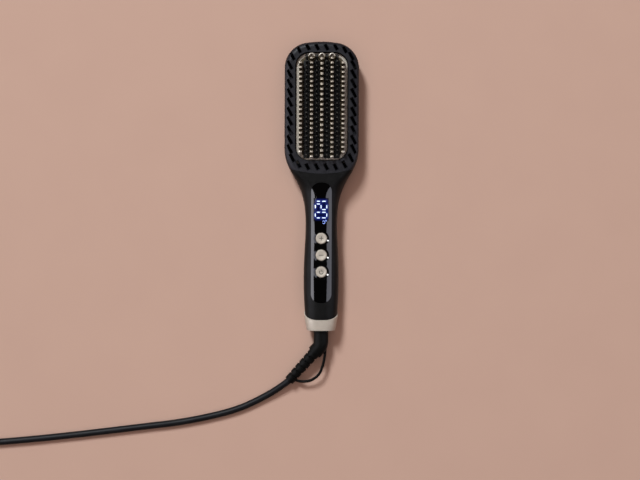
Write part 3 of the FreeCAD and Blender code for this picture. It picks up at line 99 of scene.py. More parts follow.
def ranged(tree, value, start, end, low=0.0, high=1.0, smooth=False):
    """Number that goes from low to high while the value goes from start to end, in
    proportion or along a smooth step, and stays there past both ends."""
    span = tree.nodes.new("ShaderNodeMapRange")
    span.interpolation_type = "SMOOTHSTEP" if smooth else "LINEAR"
    for socket, number in (("From Min", start), ("From Max", end), ("To Min", low),
                           ("To Max", high)):
        span.inputs[socket].default_value = number
    tree.links.new(value, span.inputs["Value"])
    return span.outputs["Result"]


# The sky is dim, and dimmer still overhead, where level gloss faces.
SKY_COLOUR = (1, 0.86, 0.81)
SKY_SIDES, SKY_OVERHEAD = 0.12, 0.008       # strengths
FADE_START, FADE_END = 0.62, 0.97           # rise of a direction of length 1
world = bpy.data.worlds.new("studio")
scene.world = world
world.use_nodes = True
sky_tree = world.node_tree
sky = sky_tree.nodes["Background"]
sky.inputs["Color"].default_value = (*SKY_COLOUR, 1)
direction = sky_tree.nodes.new("ShaderNodeTexCoord")
direction_parts = sky_tree.nodes.new("ShaderNodeSeparateXYZ")
sky_tree.links.new(direction.outputs["Generated"], direction_parts.inputs["Vector"])
sky_tree.links.new(ranged(sky_tree, direction_parts.outputs["Z"], FADE_START, FADE_END,
                          SKY_SIDES, SKY_OVERHEAD, smooth=True), sky.inputs["Strength"])
# Past the card's edge the lens sees a backdrop near the card's colour, which lights nothing.
backdrop = sky_tree.nodes.new("ShaderNodeBackground")
backdrop.inputs["Color"].default_value = (0.36, 0.22, 0.175, 1)
ray = sky_tree.nodes.new("ShaderNodeLightPath")
choice = sky_tree.nodes.new("ShaderNodeMixShader")
sky_tree.links.new(ray.outputs["Is Camera Ray"], choice.inputs["Fac"])
sky_tree.links.new(sky.outputs["Background"], choice.inputs[1])
sky_tree.links.new(backdrop.outputs["Background"], choice.inputs[2])
sky_tree.links.new(choice.outputs["Shader"], sky_tree.nodes["World Output"].inputs["Surface"])

scene.view_settings.view_transform = "Standard"


def new_finish(name, colour, roughness, metal=0.0):
    """Material with one shader, and the shader."""
    material = bpy.data.materials.new(name)
    material.use_nodes = True
    shader = material.node_tree.nodes["Principled BSDF"]
    shader.inputs["Base Color"].default_value = (*colour, 1)
    shader.inputs["Roughness"].default_value = roughness
    shader.inputs["Metallic"].default_value = metal
    return material, shader


def cloud(material, size, detail=2.0, stretch=(1, 1, 1)):
    """Noise over the piece, its lumps about size across, longer along a stretched axis."""
    tree = material.node_tree
    where = tree.nodes.new("ShaderNodeTexCoord")
    spread = tree.nodes.new("ShaderNodeMapping")
    spread.inputs["Scale"].default_value = [1 / (size * part) for part in stretch]
    noise = tree.nodes.new("ShaderNodeTexNoise")
    noise.inputs["Scale"].default_value = 1
    noise.inputs["Detail"].default_value = detail
    tree.links.new(where.outputs["Object"], spread.inputs["Vector"])
    tree.links.new(spread.outputs["Vector"], noise.inputs["Vector"])
    return noise.outputs["Fac"]


NOISE_LOW, NOISE_HIGH = 0.3, 0.7  # nearly all of a cloud lies between these


def vary(material, shader, socket, value, low, high):
    """The shader's socket goes from low to high, which are two colours or two numbers, in
    proportion as the value goes from NOISE_LOW to NOISE_HIGH."""
    tree = material.node_tree
    if isinstance(low, tuple):
        ramp = tree.nodes.new("ShaderNodeValToRGB")
        stops = ramp.color_ramp.elements
        for stop, place, colour in zip(stops, (NOISE_LOW, NOISE_HIGH), (low, high)):
            stop.position = place
            stop.color = (*colour, 1)
        tree.links.new(value, ramp.inputs["Fac"])
        tree.links.new(ramp.outputs["Color"], shader.inputs[socket])
    else:
        number = ranged(tree, value, NOISE_LOW, NOISE_HIGH, low, high)
        tree.links.new(number, shader.inputs[socket])


card, card_shader = new_finish("card", (0.527, 0.352, 0.283), 0.9)
card_shader.inputs["Specular IOR Level"].default_value = 0
vary(card, card_shader, "Base Color", cloud(card, 60 * MM), (0.522, 0.348, 0.280),
     (0.532, 0.356, 0.286))
CARD_HALF = 3.0
floor_mesh = bpy.data.meshes.new("floor")
floor_mesh.from_pydata([(-CARD_HALF, -CARD_HALF, 0), (CARD_HALF, -CARD_HALF, 0),
                        (CARD_HALF, CARD_HALF, 0), (-CARD_HALF, CARD_HALF, 0)], [],
                       [(0, 1, 2, 3)])
floor_mesh.materials.append(card)
floor = bpy.data.objects.new("floor", floor_mesh)
scene.collection.objects.link(floor)

# ---------------------------------------------------------------- mains lead
# Two-core round flex in black rubbery sheath, 6.3 mm thick and 2 m long.  It comes out of
# the ribbed guard, lies on the table in long lazy bends, and the rest is wound up flat.
CORD_RADIUS = 3.15 * MM
CORD_ROUTE = [                    # control points in millimetres, from the guard to the coil
    (-30.1, -185, 7.4), (-41.4, -193.8, 5.0), (-56.5, -202.6, 3.5), (-77.6, -212.8, 3.2),
    (-104.2, -220.1, 3.2), (-135.6, -226.3, 3.2), (-172.0, -230.6, 3.2), (-214.0, -235.9, 3.2),
    (-258.0, -241.0, 3.2), (-300.0, -245.0, 3.2), (-338.0, -247.9, 3.2), (-362.0, -248.9, 3.2),
]
TAIL_ROUTE = [(-417.6, -186, 9.4), (-416.6, -172, 7.8), (-414.6, -156, 7.0),
              (-414, -140, 6.85)]
COIL_CENTRE = (-376, -204)
TURNS = [(44.85, 3.2), (38.55, 3.2), (32.25, 3.2), (25.95, 3.2), (29.1, 8.7), (35.4, 8.7),
         (41.7, 8.7), (44.6, 9.8)]      # radius and height of each turn, from the first
TURN_POINTS = 12
STEP_SHARE = 0.3                  # part of a turn in which the cord moves to the next one
FIRST_ANGLE, LAST_ANGLE = -108, 172


def wound_turns():
    """Turns of the coil, clockwise from the side where the cord comes in: level circles
    that step to the next circle's radius and height over the last part of each turn."""
    outward = 1 / math.cos(math.pi / TURN_POINTS)       # the curve runs inside its points
    sweep = FIRST_ANGLE - LAST_ANGLE + 360 * len(TURNS)
    count = round(sweep / 360 * TURN_POINTS)
    points = []
    for index in range(count + 1):
        turned = index * sweep / 360 / count
        turn = int(turned)
        (near, low), (far, high) = TURNS[turn], TURNS[min(turn + 1, len(TURNS) - 1)]
        share = max(0, (turned - turn - 1 + STEP_SHARE) / STEP_SHARE)
        share = share * share * (3 - 2 * share)
        radius = outward * (near * (1 - share) + far * share)
        height = low * (1 - share) + high * share
        angle = math.radians(FIRST_ANGLE - 360 * turned)
        points.append((COIL_CENTRE[0] + radius * math.cos(angle),
                       COIL_CENTRE[1] + radius * math.sin(angle), height))
    return points


def relief(material, shader, height, depth):
    """Bump of a real depth from a height between 0 and 1, on top of any bump there is."""
    tree = material.node_tree
    bump = tree.nodes.new("ShaderNodeBump")
    bump.inputs["Strength"].default_value = 1
    bump.inputs["Distance"].default_value = depth
    tree.links.new(height, bump.inputs["Height"])
    if shader.inputs["Normal"].is_linked:
        tree.links.new(shader.inputs["Normal"].links[0].from_socket, bump.inputs["Normal"])
    tree.links.new(bump.outputs["Normal"], shader.inputs["Normal"])


SHADE_CLOUD, SHEEN_CLOUD, SHEEN_SPREAD = 9 * MM, 3 * MM, 0.05


def moulded(name, dark, light, roughness, grain=0.35 * MM, depth=0.012 * MM, gloss=0.5):
    """Moulded plastic: a fine eroded grain, faint clouds in its colour and its sheen."""
    material, shader = new_finish(name, light, roughness)
    shader.inputs["Specular IOR Level"].default_value = gloss
    vary(material, shader, "Base Color", cloud(material, SHADE_CLOUD), dark, light)
    vary(material, shader, "Roughness", cloud(material, SHEEN_CLOUD),
         roughness - SHEEN_SPREAD, roughness + SHEEN_SPREAD)
    relief(material, shader, cloud(material, grain), depth)
    return material


sheath = moulded("cord_sheath", (0.0055, 0.0055, 0.0065), (0.0085, 0.0085, 0.0100), 0.44,
                 grain=0.9 * MM, depth=0.015 * MM, gloss=0.12)
line = bpy.data.curves.new("mains_lead", "CURVE")
line.dimensions = "3D"
line.bevel_depth = CORD_RADIUS
line.bevel_resolution = 6
line.resolution_u = 10
line.use_fill_caps = True
spline = line.splines.new("NURBS")
way = CORD_ROUTE + wound_turns() + TAIL_ROUTE
spline.points.add(len(way) - 1)
for point, place in zip(spline.points, way):
    point.co = (place[0] * MM, place[1] * MM, place[2] * MM, 1)
spline.order_u = 3
spline.use_endpoint_u = True
line.materials.append(sheath)
lead = bpy.data.objects.new("mains_lead", line)
scene.collection.objects.link(lead)
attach(lead, "lead")
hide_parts("mains_cord", "cord_coil", "cord_tail")


# ---------------------------------------------------------------- rear housing
# Back shell of head, neck and handle, moulded in black nylon with a fine satin grain.
# Screws from the back hold the front frame and the handle's front shell to it.
def dress(material, *names):
    """Give CAD nodes their finish."""
    for name in names:
        mesh = nodes[name].data
        mesh.materials.clear()
        mesh.materials.append(material)


shell_black = moulded("shell_black", (0.0060, 0.0060, 0.0060), (0.0092, 0.0091, 0.0091), 0.36,
                      gloss=0.07)
dress(shell_black, "rear_housing")

# ---------------------------------------------------------------- heater
# A ceramic heater in yellow film, held to the plate's back by a plated spring channel, with
# a temperature sensor on one side of it and a thermal fuse on the other.
ceramic = moulded("heater_ceramic", (0.70, 0.68, 0.64), (0.78, 0.76, 0.72), 0.7)
film, film_shader = new_finish("insulator_film", (0.62, 0.36, 0.08), 0.25)
vary(film, film_shader, "Roughness", cloud(film, 4 * MM), 0.2, 0.35)
relief(film, film_shader, cloud(film, 2 * MM), 0.03 * MM)

STREAK_SPREAD = 0.08


def plain_metal(name, colour, roughness, run=(1, 12, 1), size=0.12 * MM, depth=0.004 * MM):
    """Metal with fine streaks along its run: brushed, rolled or drawn."""
    material, shader = new_finish(name, colour, roughness, metal=1.0)
    streaks = cloud(material, size, stretch=run)
    vary(material, shader, "Roughness", streaks, roughness - STREAK_SPREAD,
         roughness + STREAK_SPREAD)
    relief(material, shader, streaks, depth)
    return material


spring_steel = plain_metal("spring_steel", (0.60, 0.60, 0.61), 0.32)
sensor_black = moulded("sensor_black", (0.02, 0.02, 0.02), (0.03, 0.03, 0.03), 0.5)
dress(ceramic, "ptc_heater")
dress(film, "heater_insulator")
dress(spring_steel, "heater_clamp", "thermal_fuse")
dress(sensor_black, "thermistor")

# ---------------------------------------------------------------- steam chamber and shield
# Cast aluminium chamber that boils the water under the plate's lower end, a black silicone
# ring that seals the plate, and a sheet of dark mica paper between the heat and the tank.
cast_metal, cast_shader = new_finish("cast_aluminium", (0.62, 0.63, 0.64), 0.5, metal=1.0)
relief(cast_metal, cast_shader, cloud(cast_metal, 0.7 * MM, detail=4), 0.05 * MM)
silicone = moulded("silicone_grey", (0.30, 0.30, 0.31), (0.36, 0.36, 0.37), 0.6)
seal_black = moulded("silicone_black", (0.004, 0.004, 0.004), (0.007, 0.007, 0.007), 0.6,
                     gloss=0.2)
mica, mica_shader = new_finish("mica_sheet", (0.045, 0.034, 0.022), 0.55)
vary(mica, mica_shader, "Base Color", cloud(mica, 1.2 * MM, detail=5), (0.030, 0.022, 0.014),
     (0.060, 0.046, 0.031))
dress(cast_metal, "steam_chamber")
dress(seal_black, "plate_seal")
dress(silicone, "tank_inlet_seal", "filler_plug", "feed_tube")
dress(mica, "heat_shield")

# ---------------------------------------------------------------- water tank and pump
# Smoked clear tank that slides out of the head's tip on its black end cap, with a grey
# filler plug and a white valve; the white pump it docks on lies in the neck.
smoke, smoke_shader = new_finish("tank_smoke", (0.30, 0.32, 0.35), 0.12)
smoke_shader.inputs["Transmission Weight"].default_value = 0.85
smoke_shader.inputs["IOR"].default_value = 1.49
relief(smoke, smoke_shader, cloud(smoke, 6 * MM), 0.05 * MM)
acetal = moulded("acetal_white", (0.78, 0.78, 0.76), (0.84, 0.84, 0.82), 0.4)
dress(smoke, "water_tank")
dress(acetal, "tank_valve", "pump")
dress(shell_black, "tank_cap")


# ---------------------------------------------------------------- heating plate
# Die-cast aluminium plate with five fins notched into teeth, under a champagne ceramic
# coat.  Painted light and shade: the rim and the teeth's tips are painted light, the rim
# lightest, and painted dark brown shade fills the plate down between the fins.
def place_on(tree):
    """Socket of the place on a piece, and the sockets of its X, Y and Z."""
    where = tree.nodes.new("ShaderNodeTexCoord")
    parts = tree.nodes.new("ShaderNodeSeparateXYZ")
    tree.links.new(where.outputs["Object"], parts.inputs["Vector"])
    return where.outputs["Object"], parts.outputs


def reckoned(tree, operation, *terms):
    """Result of one step of arithmetic on sockets and plain numbers."""
    step = tree.nodes.new("ShaderNodeMath")
    step.operation = operation
    for socket, term in zip(step.inputs, terms):
        if isinstance(term, float):
            socket.default_value = term
        else:
            tree.links.new(term, socket)
    return step.outputs["Value"]


def mixed(tree, share, first, second):
    """Colour that goes from the first to the second, each a plain colour or a socket."""
    mix = tree.nodes.new("ShaderNodeMix")
    mix.data_type = "RGBA"
    tree.links.new(share, mix.inputs["Factor"])
    for socket, colour in (("A", first), ("B", second)):
        if isinstance(colour, tuple):
            mix.inputs[socket].default_value = (*colour, 1)
        else:
            tree.links.new(colour, mix.inputs[socket])
    return mix.outputs["Result"]


plate_metal, plate_shader = new_finish("plate_metal", (0.45, 0.385, 0.325), 0.34, metal=0.55)
plate_tree = plate_metal.node_tree
plate_place, plate_axes = place_on(plate_tree)
# The rim is what lies within RIM_WIDTH of the comb opening's rounded outline: the distance
# from the line through the corners' middles says how far out a place is.
OPENING_HALF_WIDTH, OPENING_HALF_LENGTH, OPENING_MIDDLE_Y = 25.0, 51.15, 75.05
OPENING_CORNER, RIM_WIDTH, RIM_BLUR = 13.0, 3.3, 0.4
RIM_LOW_Z, RIM_HIGH_Z = 21.0, 22.0
OVER_ALL = 100                    # taken off the height, so that it doesn't count
outwards = plate_place
for operation, numbers in (
        ("SUBTRACT", (0, OPENING_MIDDLE_Y, 0)), ("ABSOLUTE", (0, 0, 0)),
        ("SUBTRACT", (OPENING_HALF_WIDTH - OPENING_CORNER,
                      OPENING_HALF_LENGTH - OPENING_CORNER, OVER_ALL)),
        ("MAXIMUM", (0, 0, 0)), ("LENGTH", (0, 0, 0))):
    step = plate_tree.nodes.new("ShaderNodeVectorMath")
    step.operation = operation
    step.inputs[1].default_value = [number * MM for number in numbers]
    plate_tree.links.new(outwards, step.inputs[0])
    outwards = step.outputs["Value" if operation == "LENGTH" else "Vector"]
rim_edge = OPENING_CORNER - RIM_WIDTH
rim = reckoned(plate_tree, "MULTIPLY",
               ranged(plate_tree, outwards, (rim_edge - RIM_BLUR) * MM, rim_edge * MM),
               ranged(plate_tree, plate_axes["Z"], RIM_LOW_Z * MM, RIM_HIGH_Z * MM))
# A painted highlight lightens the tip of a tooth near the middle of its fin.  The two outer
# fins stand further out than the even pitch of the others, so their places are moved in by
# the difference.
COLUMN_PITCH, OUTER_COLUMN_X, OUTER_FROM_X, OUTER_BLUR = 9.6, 19.9, 14.5, 0.1
CROWN_FULL, CROWN_END = 0.85, 1.4
TIP_LOW_Z, TIP_HIGH_Z = 33.0, 35.0
side_x = reckoned(plate_tree, "ABSOLUTE", plate_axes["X"])
outer_fin = ranged(plate_tree, side_x, OUTER_FROM_X * MM, (OUTER_FROM_X + OUTER_BLUR) * MM)
even_x = reckoned(plate_tree, "MULTIPLY_ADD", outer_fin,
                  (2 * COLUMN_PITCH - OUTER_COLUMN_X) * MM, side_x)
off_fin = reckoned(plate_tree, "PINGPONG", even_x, COLUMN_PITCH / 2 * MM)
tips = ranged(plate_tree, plate_axes["Z"], TIP_LOW_Z * MM, TIP_HIGH_Z * MM)
crown = ranged(plate_tree, off_fin, CROWN_END * MM, CROWN_FULL * MM)
# Mask of the painted light: the rim and the middles of the teeth's tips; outside it the plate
# is painted dark brown shade.
painted_light_mask = reckoned(plate_tree, "MAXIMUM", rim, reckoned(plate_tree, "MULTIPLY", tips, crown))
TIP_DARK, TIP_LIGHT = (0.34, 0.295, 0.235), (0.405, 0.355, 0.285)
# Painted light and shade: the rim's colour is painted lighter than the tips, and the dark
# brown is painted shade down between the fins.
RIM_COLOUR, PAINTED_GAP_SHADE = (0.50, 0.45, 0.385), (0.092, 0.070, 0.040)
vary(plate_metal, plate_shader, "Base Color", cloud(plate_metal, 5 * MM), TIP_DARK, TIP_LIGHT)
tip_colour = plate_shader.inputs["Base Color"].links[0].from_socket
rim_and_tip_colour = mixed(plate_tree, rim, tip_colour, RIM_COLOUR)
plate_tree.links.new(mixed(plate_tree, painted_light_mask, PAINTED_GAP_SHADE, rim_and_tip_colour),
                     plate_shader.inputs["Base Color"])
vary(plate_metal, plate_shader, "Roughness", cloud(plate_metal, 1.1 * MM), 0.30, 0.40)
relief(plate_metal, plate_shader, cloud(plate_metal, 0.25 * MM), 0.006 * MM)
# Every tooth's tip is ground a little round across its fin.
TIP_ROUND = 0.20                  # fall of the tip in millimetres at 1 mm from its middle
off_mm = reckoned(plate_tree, "DIVIDE", off_fin, MM)
tip_fall = reckoned(plate_tree, "MULTIPLY", tips,
                    reckoned(plate_tree, "MULTIPLY", off_mm, off_mm))
relief(plate_metal, plate_shader, tip_fall, -TIP_ROUND * MM)
dress(plate_metal, "heating_plate")

# ---------------------------------------------------------------- bristle strips
# Four strips of black heat-proof nylon pins, pressed into grooves between the fins; they
# stand taller than the teeth and keep the hot metal off the scalp.  Their ends are painted
# a soft grey: a painted highlight on the pins' tips.
TIP_HIGHLIGHT_FROM, TIP_HIGHLIGHT_FULL = 1.1 * MM, 0.7 * MM       # below the top of the pins
TIP_HIGHLIGHT_COLOUR = (0.070, 0.067, 0.058)
bristle_black = moulded("bristle_black", (0.006, 0.006, 0.006), (0.010, 0.010, 0.010), 0.34,
                        grain=0.2 * MM, depth=0.004 * MM, gloss=0.5)
bristle_tree = bristle_black.node_tree
bristle_colour = bristle_tree.nodes["Principled BSDF"].inputs["Base Color"]
bristle_axes = place_on(bristle_tree)[1]
pin_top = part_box("bristle_row_1")[1][2]
# The pins' tops turn grey: a painted highlight.
tip_highlight = ranged(bristle_tree, bristle_axes["Z"], pin_top - TIP_HIGHLIGHT_FROM, pin_top - TIP_HIGHLIGHT_FULL)
bristle_tree.links.new(mixed(bristle_tree, tip_highlight, bristle_colour.links[0].from_socket,
                             TIP_HIGHLIGHT_COLOUR), bristle_colour)
for number in (1, 2, 3, 4):
    dress(bristle_black, "bristle_row_%d" % number)

# ---------------------------------------------------------------- front frame and shell
# The guard frame round the comb and the handle's front shell: the frame in a slightly
# greyer heat-proof plastic than the shell, both with a spark-eroded satin face.
frame_black = moulded("frame_black", (0.0078, 0.0075, 0.0100), (0.0126, 0.0121, 0.0158), 0.44,
                      grain=0.4 * MM, depth=0.016 * MM, gloss=0.19)
dress(frame_black, "front_frame")
dress(shell_black, "front_housing")

# ---------------------------------------------------------------- boards
# Green control board with three black key switches under the panel, the white display
# moulding on it, and the supply board with its black capacitor deeper in the handle.
board, board_shader = new_finish("board_green", (0.02, 0.16, 0.08), 0.35)
vary(board, board_shader, "Base Color", cloud(board, 1.5 * MM), (0.015, 0.13, 0.065),
     (0.03, 0.20, 0.11))
part_black = moulded("component_black", (0.02, 0.02, 0.02), (0.03, 0.03, 0.03), 0.45)
display_white = moulded("display_housing", (0.66, 0.66, 0.68), (0.72, 0.72, 0.74), 0.4)
dress(board, "circuit_board", "power_board")
dress(part_black, "tact_switches", "filter_capacitor")
dress(display_white, "led_display")

# ---------------------------------------------------------------- control panel
# Gloss black acrylic strip, crowned across the handle and set into its front shell.  The
# display's segments shine through it: white bars in a deep blue glow, read from the tip.
panel_black, panel_shader = new_finish("panel_black", (0.0012, 0.0011, 0.0012), 0.055)
panel_shader.inputs["Coat Weight"].default_value = 0.6
panel_shader.inputs["Coat Roughness"].default_value = 0.02
vary(panel_black, panel_shader, "Roughness", cloud(panel_black, 14 * MM), 0.045, 0.07)
relief(panel_black, panel_shader, cloud(panel_black, 22 * MM, detail=0), 0.03 * MM)
dress(panel_black, "control_panel")


def surface_mesh(name, places, faces, material):
    """Piece from an array of places in millimetres and an array of faces."""
    mesh = bpy.data.meshes.new(name)
    mesh.from_pydata((np.asarray(places) * MM).tolist(), [], np.asarray(faces).tolist())
    mesh.materials.append(material)
    piece = bpy.data.objects.new(name, mesh)
    scene.collection.objects.link(piece)
    return piece


def grid_faces(rows, columns, first=0):
    """Squares of a grid of rows by columns of places, counted row by row, seen from +Z."""
    corner = (np.arange(rows - 1)[:, None] * columns + np.arange(columns - 1)).ravel() + first
    return np.stack([corner, corner + 1, corner + columns + 1, corner + columns], 1)


def laid_on(piece, node, lift):
    """The flat piece comes straight down onto a CAD node and stops a little above it."""
    wrap = piece.modifiers.new("lay", "SHRINKWRAP")
    wrap.target = nodes[node]
    wrap.wrap_method = "PROJECT"
    wrap.use_project_z = True
    wrap.use_negative_direction = True
    wrap.use_positive_direction = False
    wrap.offset = lift
    laid = bpy.data.meshes.new_from_object(piece.evaluated_get(
        bpy.context.evaluated_depsgraph_get()))
    piece.modifiers.clear()
    flat, piece.data = piece.data, laid
    bpy.data.meshes.remove(flat)
    return piece


FLAT_HEIGHT = 40.0                # height in millimetres that flat pieces come down from
ACROSS = 3                        # places across a ribbon


def ribbon(line, half_width):
    """Grid of a flat strip along a line of places, three places across: each place of the
    line, and the two that lie half_width to its sides."""
    line = np.asarray(line, float)
    along = np.gradient(line, axis=0)
    across = np.stack([-along[:, 1], along[:, 0]], 1) / np.hypot(*along.T)[:, None]
    side = np.linspace(1, -1, ACROSS)[None, :, None]
    wide = np.reshape(np.broadcast_to(half_width, len(line)), (-1, 1, 1))
    flat = line[:, None, :] + side * wide * across[:, None, :]
    height = np.full((len(line), ACROSS, 1), FLAT_HEIGHT)
    return np.concatenate([flat, height], 2).reshape(-1, 3)


def strips_piece(name, strips, material):
    """One piece from several ribbons."""
    faces, first = [], 0
    for strip in strips:
        faces.append(grid_faces(len(strip) // ACROSS, ACROSS, first))
        first += len(strip)
    return surface_mesh(name, np.concatenate(strips), np.concatenate(faces), material)


# Digits stand on the left edge and read towards the lead: their own up is +X.
DIGIT_LOW, DIGIT_MIDDLE, DIGIT_HIGH = -5.75, -0.35, 5.05
DIGIT_RUN, DIGIT_PITCH, FIRST_DIGIT_Y = 5.25, 7.8, -9.15
# Gaps that a bar leaves at its two ends, to the lines of the bars that it would meet.
LOW_HALF_GAPS, HIGH_HALF_GAPS, LEVEL_GAP = (1.35, 0.95), (0.85, 0.85), 0.95
HALF_BARS = {"low": (DIGIT_LOW + LOW_HALF_GAPS[0], DIGIT_MIDDLE - LOW_HALF_GAPS[1]),
             "high": (DIGIT_MIDDLE + HIGH_HALF_GAPS[0], DIGIT_HIGH - HIGH_HALF_GAPS[1])}
# Over TAPER_SHARE of its length at each end, a bar narrows to END_WIDTH of its width.
BAR_WIDTH, BAR_STEPS = 0.85, 9
TAPER_SHARE, END_WIDTH = 0.14, 0.3
BAR_SHARE = np.linspace(0, 1, BAR_STEPS)
BAR_ENDS = np.clip(np.minimum(BAR_SHARE, 1 - BAR_SHARE) / TAPER_SHARE, END_WIDTH, 1)


def digit(start_y, upright_low=(), upright_high=(), level=()):
    """Bars of one digit that starts at start_y and is DIGIT_RUN long towards -Y."""
    bars = []
    for half, sides in (("low", upright_low), ("high", upright_high)):
        for side in sides:
            y = start_y - side * DIGIT_RUN
            bars.append(((HALF_BARS[half][0], y), (HALF_BARS[half][1], y)))
    for x in level:
        bars.append(((x, start_y - LEVEL_GAP), (x, start_y - DIGIT_RUN + LEVEL_GAP)))
    return bars


lit = (digit(FIRST_DIGIT_Y, upright_low=(1,), upright_high=(1,))
       + digit(FIRST_DIGIT_Y - DIGIT_PITCH, upright_low=(0,), upright_high=(1,),
               level=(DIGIT_LOW, DIGIT_MIDDLE, DIGIT_HIGH))
       + digit(FIRST_DIGIT_Y - 2 * DIGIT_PITCH, upright_low=(0, 1), upright_high=(0, 1),
               level=(DIGIT_LOW, DIGIT_HIGH)))


def lit_finish(name, colour, glow):
    """Smooth diffuser of a colour that shines with a glow of its own."""
    material, shader = new_finish(name, colour, 0.2)
    shader.inputs["Emission Color"].default_value = (*glow, 1)
    shader.inputs["Emission Strength"].default_value = 0.9
    relief(material, shader, cloud(material, 1 * MM), 0.002 * MM)
    return material


SEGMENT_LIFT, GLOW_LIFT = 0.06 * MM, 0.03 * MM      # above the panel's face
segment_light = lit_finish("segment_light", (0.60, 0.70, 0.85), (0.57, 0.71, 0.84))
strips = [ribbon(np.linspace(start, end, BAR_STEPS), BAR_WIDTH / 2 * BAR_ENDS)
          for start, end in lit]
digits = laid_on(strips_piece("display_digits", strips, segment_light), "control_panel",
                 SEGMENT_LIFT)


def arc_line(centre, radii, start, end, count):
    """Places on an oval arc between two angles, in degrees from +Y towards +X."""
    turned = np.radians(np.linspace(start, end, count))
    return np.stack([centre[0] + radii[0] * np.sin(turned),
                     centre[1] + radii[1] * np.cos(turned)], 1)


# Degrees and a C after the digits, in a bluer light.
UNIT_Y = -34.1
LETTER_CENTRE, LETTER_RADII, LETTER_HALF_WIDTH = (2.2, UNIT_Y), (1.15, 1.3), 0.25
LETTER_START, LETTER_END, LETTER_STEPS = -60, 240, 25
DEGREE_CENTRE, DEGREE_RADII, DEGREE_HALF_WIDTH = (4.4, UNIT_Y + 1.5), (0.5, 0.5), 0.18
DEGREE_STEPS = 17
unit_light = lit_finish("unit_light", (0.22, 0.32, 0.78), (0.22, 0.32, 0.78))
letter = arc_line(LETTER_CENTRE, LETTER_RADII, LETTER_START, LETTER_END, LETTER_STEPS)
degree = arc_line(DEGREE_CENTRE, DEGREE_RADII, 0, 360, DEGREE_STEPS)
unit = laid_on(strips_piece("display_unit", [ribbon(letter, LETTER_HALF_WIDTH),
                                             ribbon(degree, DEGREE_HALF_WIDTH)],
                            unit_light), "control_panel", SEGMENT_LIFT)

# Light that spreads in the panel round the segments: the panel's own gloss, lit from under
# and frosted where it is lit.  It fades as a bell curve of the distance to the nearest bar.
GLOW_SPREAD = 1.7
GLOW_X, GLOW_Y = np.linspace(-7.4, 6.8, 48), np.linspace(-33.1, -11.3, 74)
FROST_FULL, CLEAR_ROUGHNESS, FROST_ROUGHNESS = 0.6, 0.06, 0.4
glow_places = np.stack([*np.meshgrid(GLOW_X, GLOW_Y),
                        np.full((len(GLOW_Y), len(GLOW_X)), FLAT_HEIGHT)], 2)
starts, ends = np.swapaxes(lit, 0, 1)
spot = glow_places[:, :, None, :2]
share = ((spot - starts) * (ends - starts)).sum(3) / ((ends - starts) ** 2).sum(1)
nearest = starts + np.clip(share, 0, 1)[..., None] * (ends - starts)
away = np.linalg.norm(spot - nearest, axis=3).min(2)
panel_glow = panel_black.copy()
panel_glow.name = "panel_glow"
glow_tree = panel_glow.node_tree
glow_shader = glow_tree.nodes["Principled BSDF"]
glow_shader.inputs["Coat Weight"].default_value = 0
glow_shader.inputs["Specular IOR Level"].default_value = 0.12
glow_shader.inputs["Emission Color"].default_value = (0.005, 0.017, 0.21, 1)
glow_amount = glow_tree.nodes.new("ShaderNodeAttribute")
glow_amount.attribute_name = "glow"
glow_tree.links.new(glow_amount.outputs["Fac"], glow_shader.inputs["Emission Strength"])
glow_tree.links.new(ranged(glow_tree, glow_amount.outputs["Fac"], 0, FROST_FULL,
                           CLEAR_ROUGHNESS, FROST_ROUGHNESS), glow_shader.inputs["Roughness"])
glow = laid_on(surface_mesh("display_glow", glow_places.reshape(-1, 3),
                            grid_faces(len(GLOW_Y), len(GLOW_X)), panel_glow),
               "control_panel", GLOW_LIFT)
glow.data.attributes.new("glow", "FLOAT", "POINT").data.foreach_set(
    "value", np.exp(-(away / GLOW_SPREAD) ** 2).ravel())
glow.data.shade_smooth()
for piece in (digits, unit, glow):
    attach(piece, "brush")

# ---------------------------------------------------------------- keys
# Three round keys in champagne lacquer, faces spun to a soft sheen and dished for the
# finger; their plus, minus and power signs are engraved and filled in olive grey.
key_metal, key_shader = new_finish("key_metal", (0.45, 0.40, 0.335), 0.50, metal=0.35)
vary(key_metal, key_shader, "Base Color", cloud(key_metal, 2.5 * MM), (0.41, 0.365, 0.305),
     (0.49, 0.44, 0.37))
vary(key_metal, key_shader, "Roughness", cloud(key_metal, 0.8 * MM), 0.45, 0.55)
relief(key_metal, key_shader, cloud(key_metal, 0.2 * MM), 0.004 * MM)
dress(key_metal, "plus_button", "minus_button", "power_button")
ink, ink_shader = new_finish("engraved_olive", (0.075, 0.07, 0.05), 0.6)
vary(ink, ink_shader, "Base Color", cloud(ink, 0.3 * MM), (0.055, 0.05, 0.035),
     (0.10, 0.092, 0.068))
KEY_YS = {"plus": -49.3, "minus": -65.1, "power": -80.9}
HALF_STROKE, SIGN_LIFT = 0.36, 0.015 * MM
PLUS_REACH, MINUS_REACH = 2.0, 2.1
POWER_CENTRE, POWER_RADII, POWER_BAR = (0, -0.2), (1.75, 1.75), (0.3, 2.2)
POWER_START, POWER_END, POWER_STEPS = 38, 322, 33


def stroke(start, end):
    """Ribbon of one engraved line."""
    return ribbon(np.linspace(start, end, BAR_STEPS), HALF_STROKE)


signs = {
    "plus": [stroke((-PLUS_REACH, 0), (PLUS_REACH, 0)),
             stroke((0, -PLUS_REACH), (0, -HALF_STROKE)),
             stroke((0, HALF_STROKE), (0, PLUS_REACH))],
    "minus": [stroke((-MINUS_REACH, 0), (MINUS_REACH, 0))],
    "power": [ribbon(arc_line(POWER_CENTRE, POWER_RADII, POWER_START, POWER_END,
                              POWER_STEPS), HALF_STROKE),
              stroke((0, POWER_BAR[0]), (0, POWER_BAR[1]))],
}
for key, lines in signs.items():
    moved = [line + np.array([0, KEY_YS[key], 0]) for line in lines]
    sign = laid_on(strips_piece(key + "_sign", moved, ink), key + "_button", SIGN_LIFT)
    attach(sign, key + "_key")

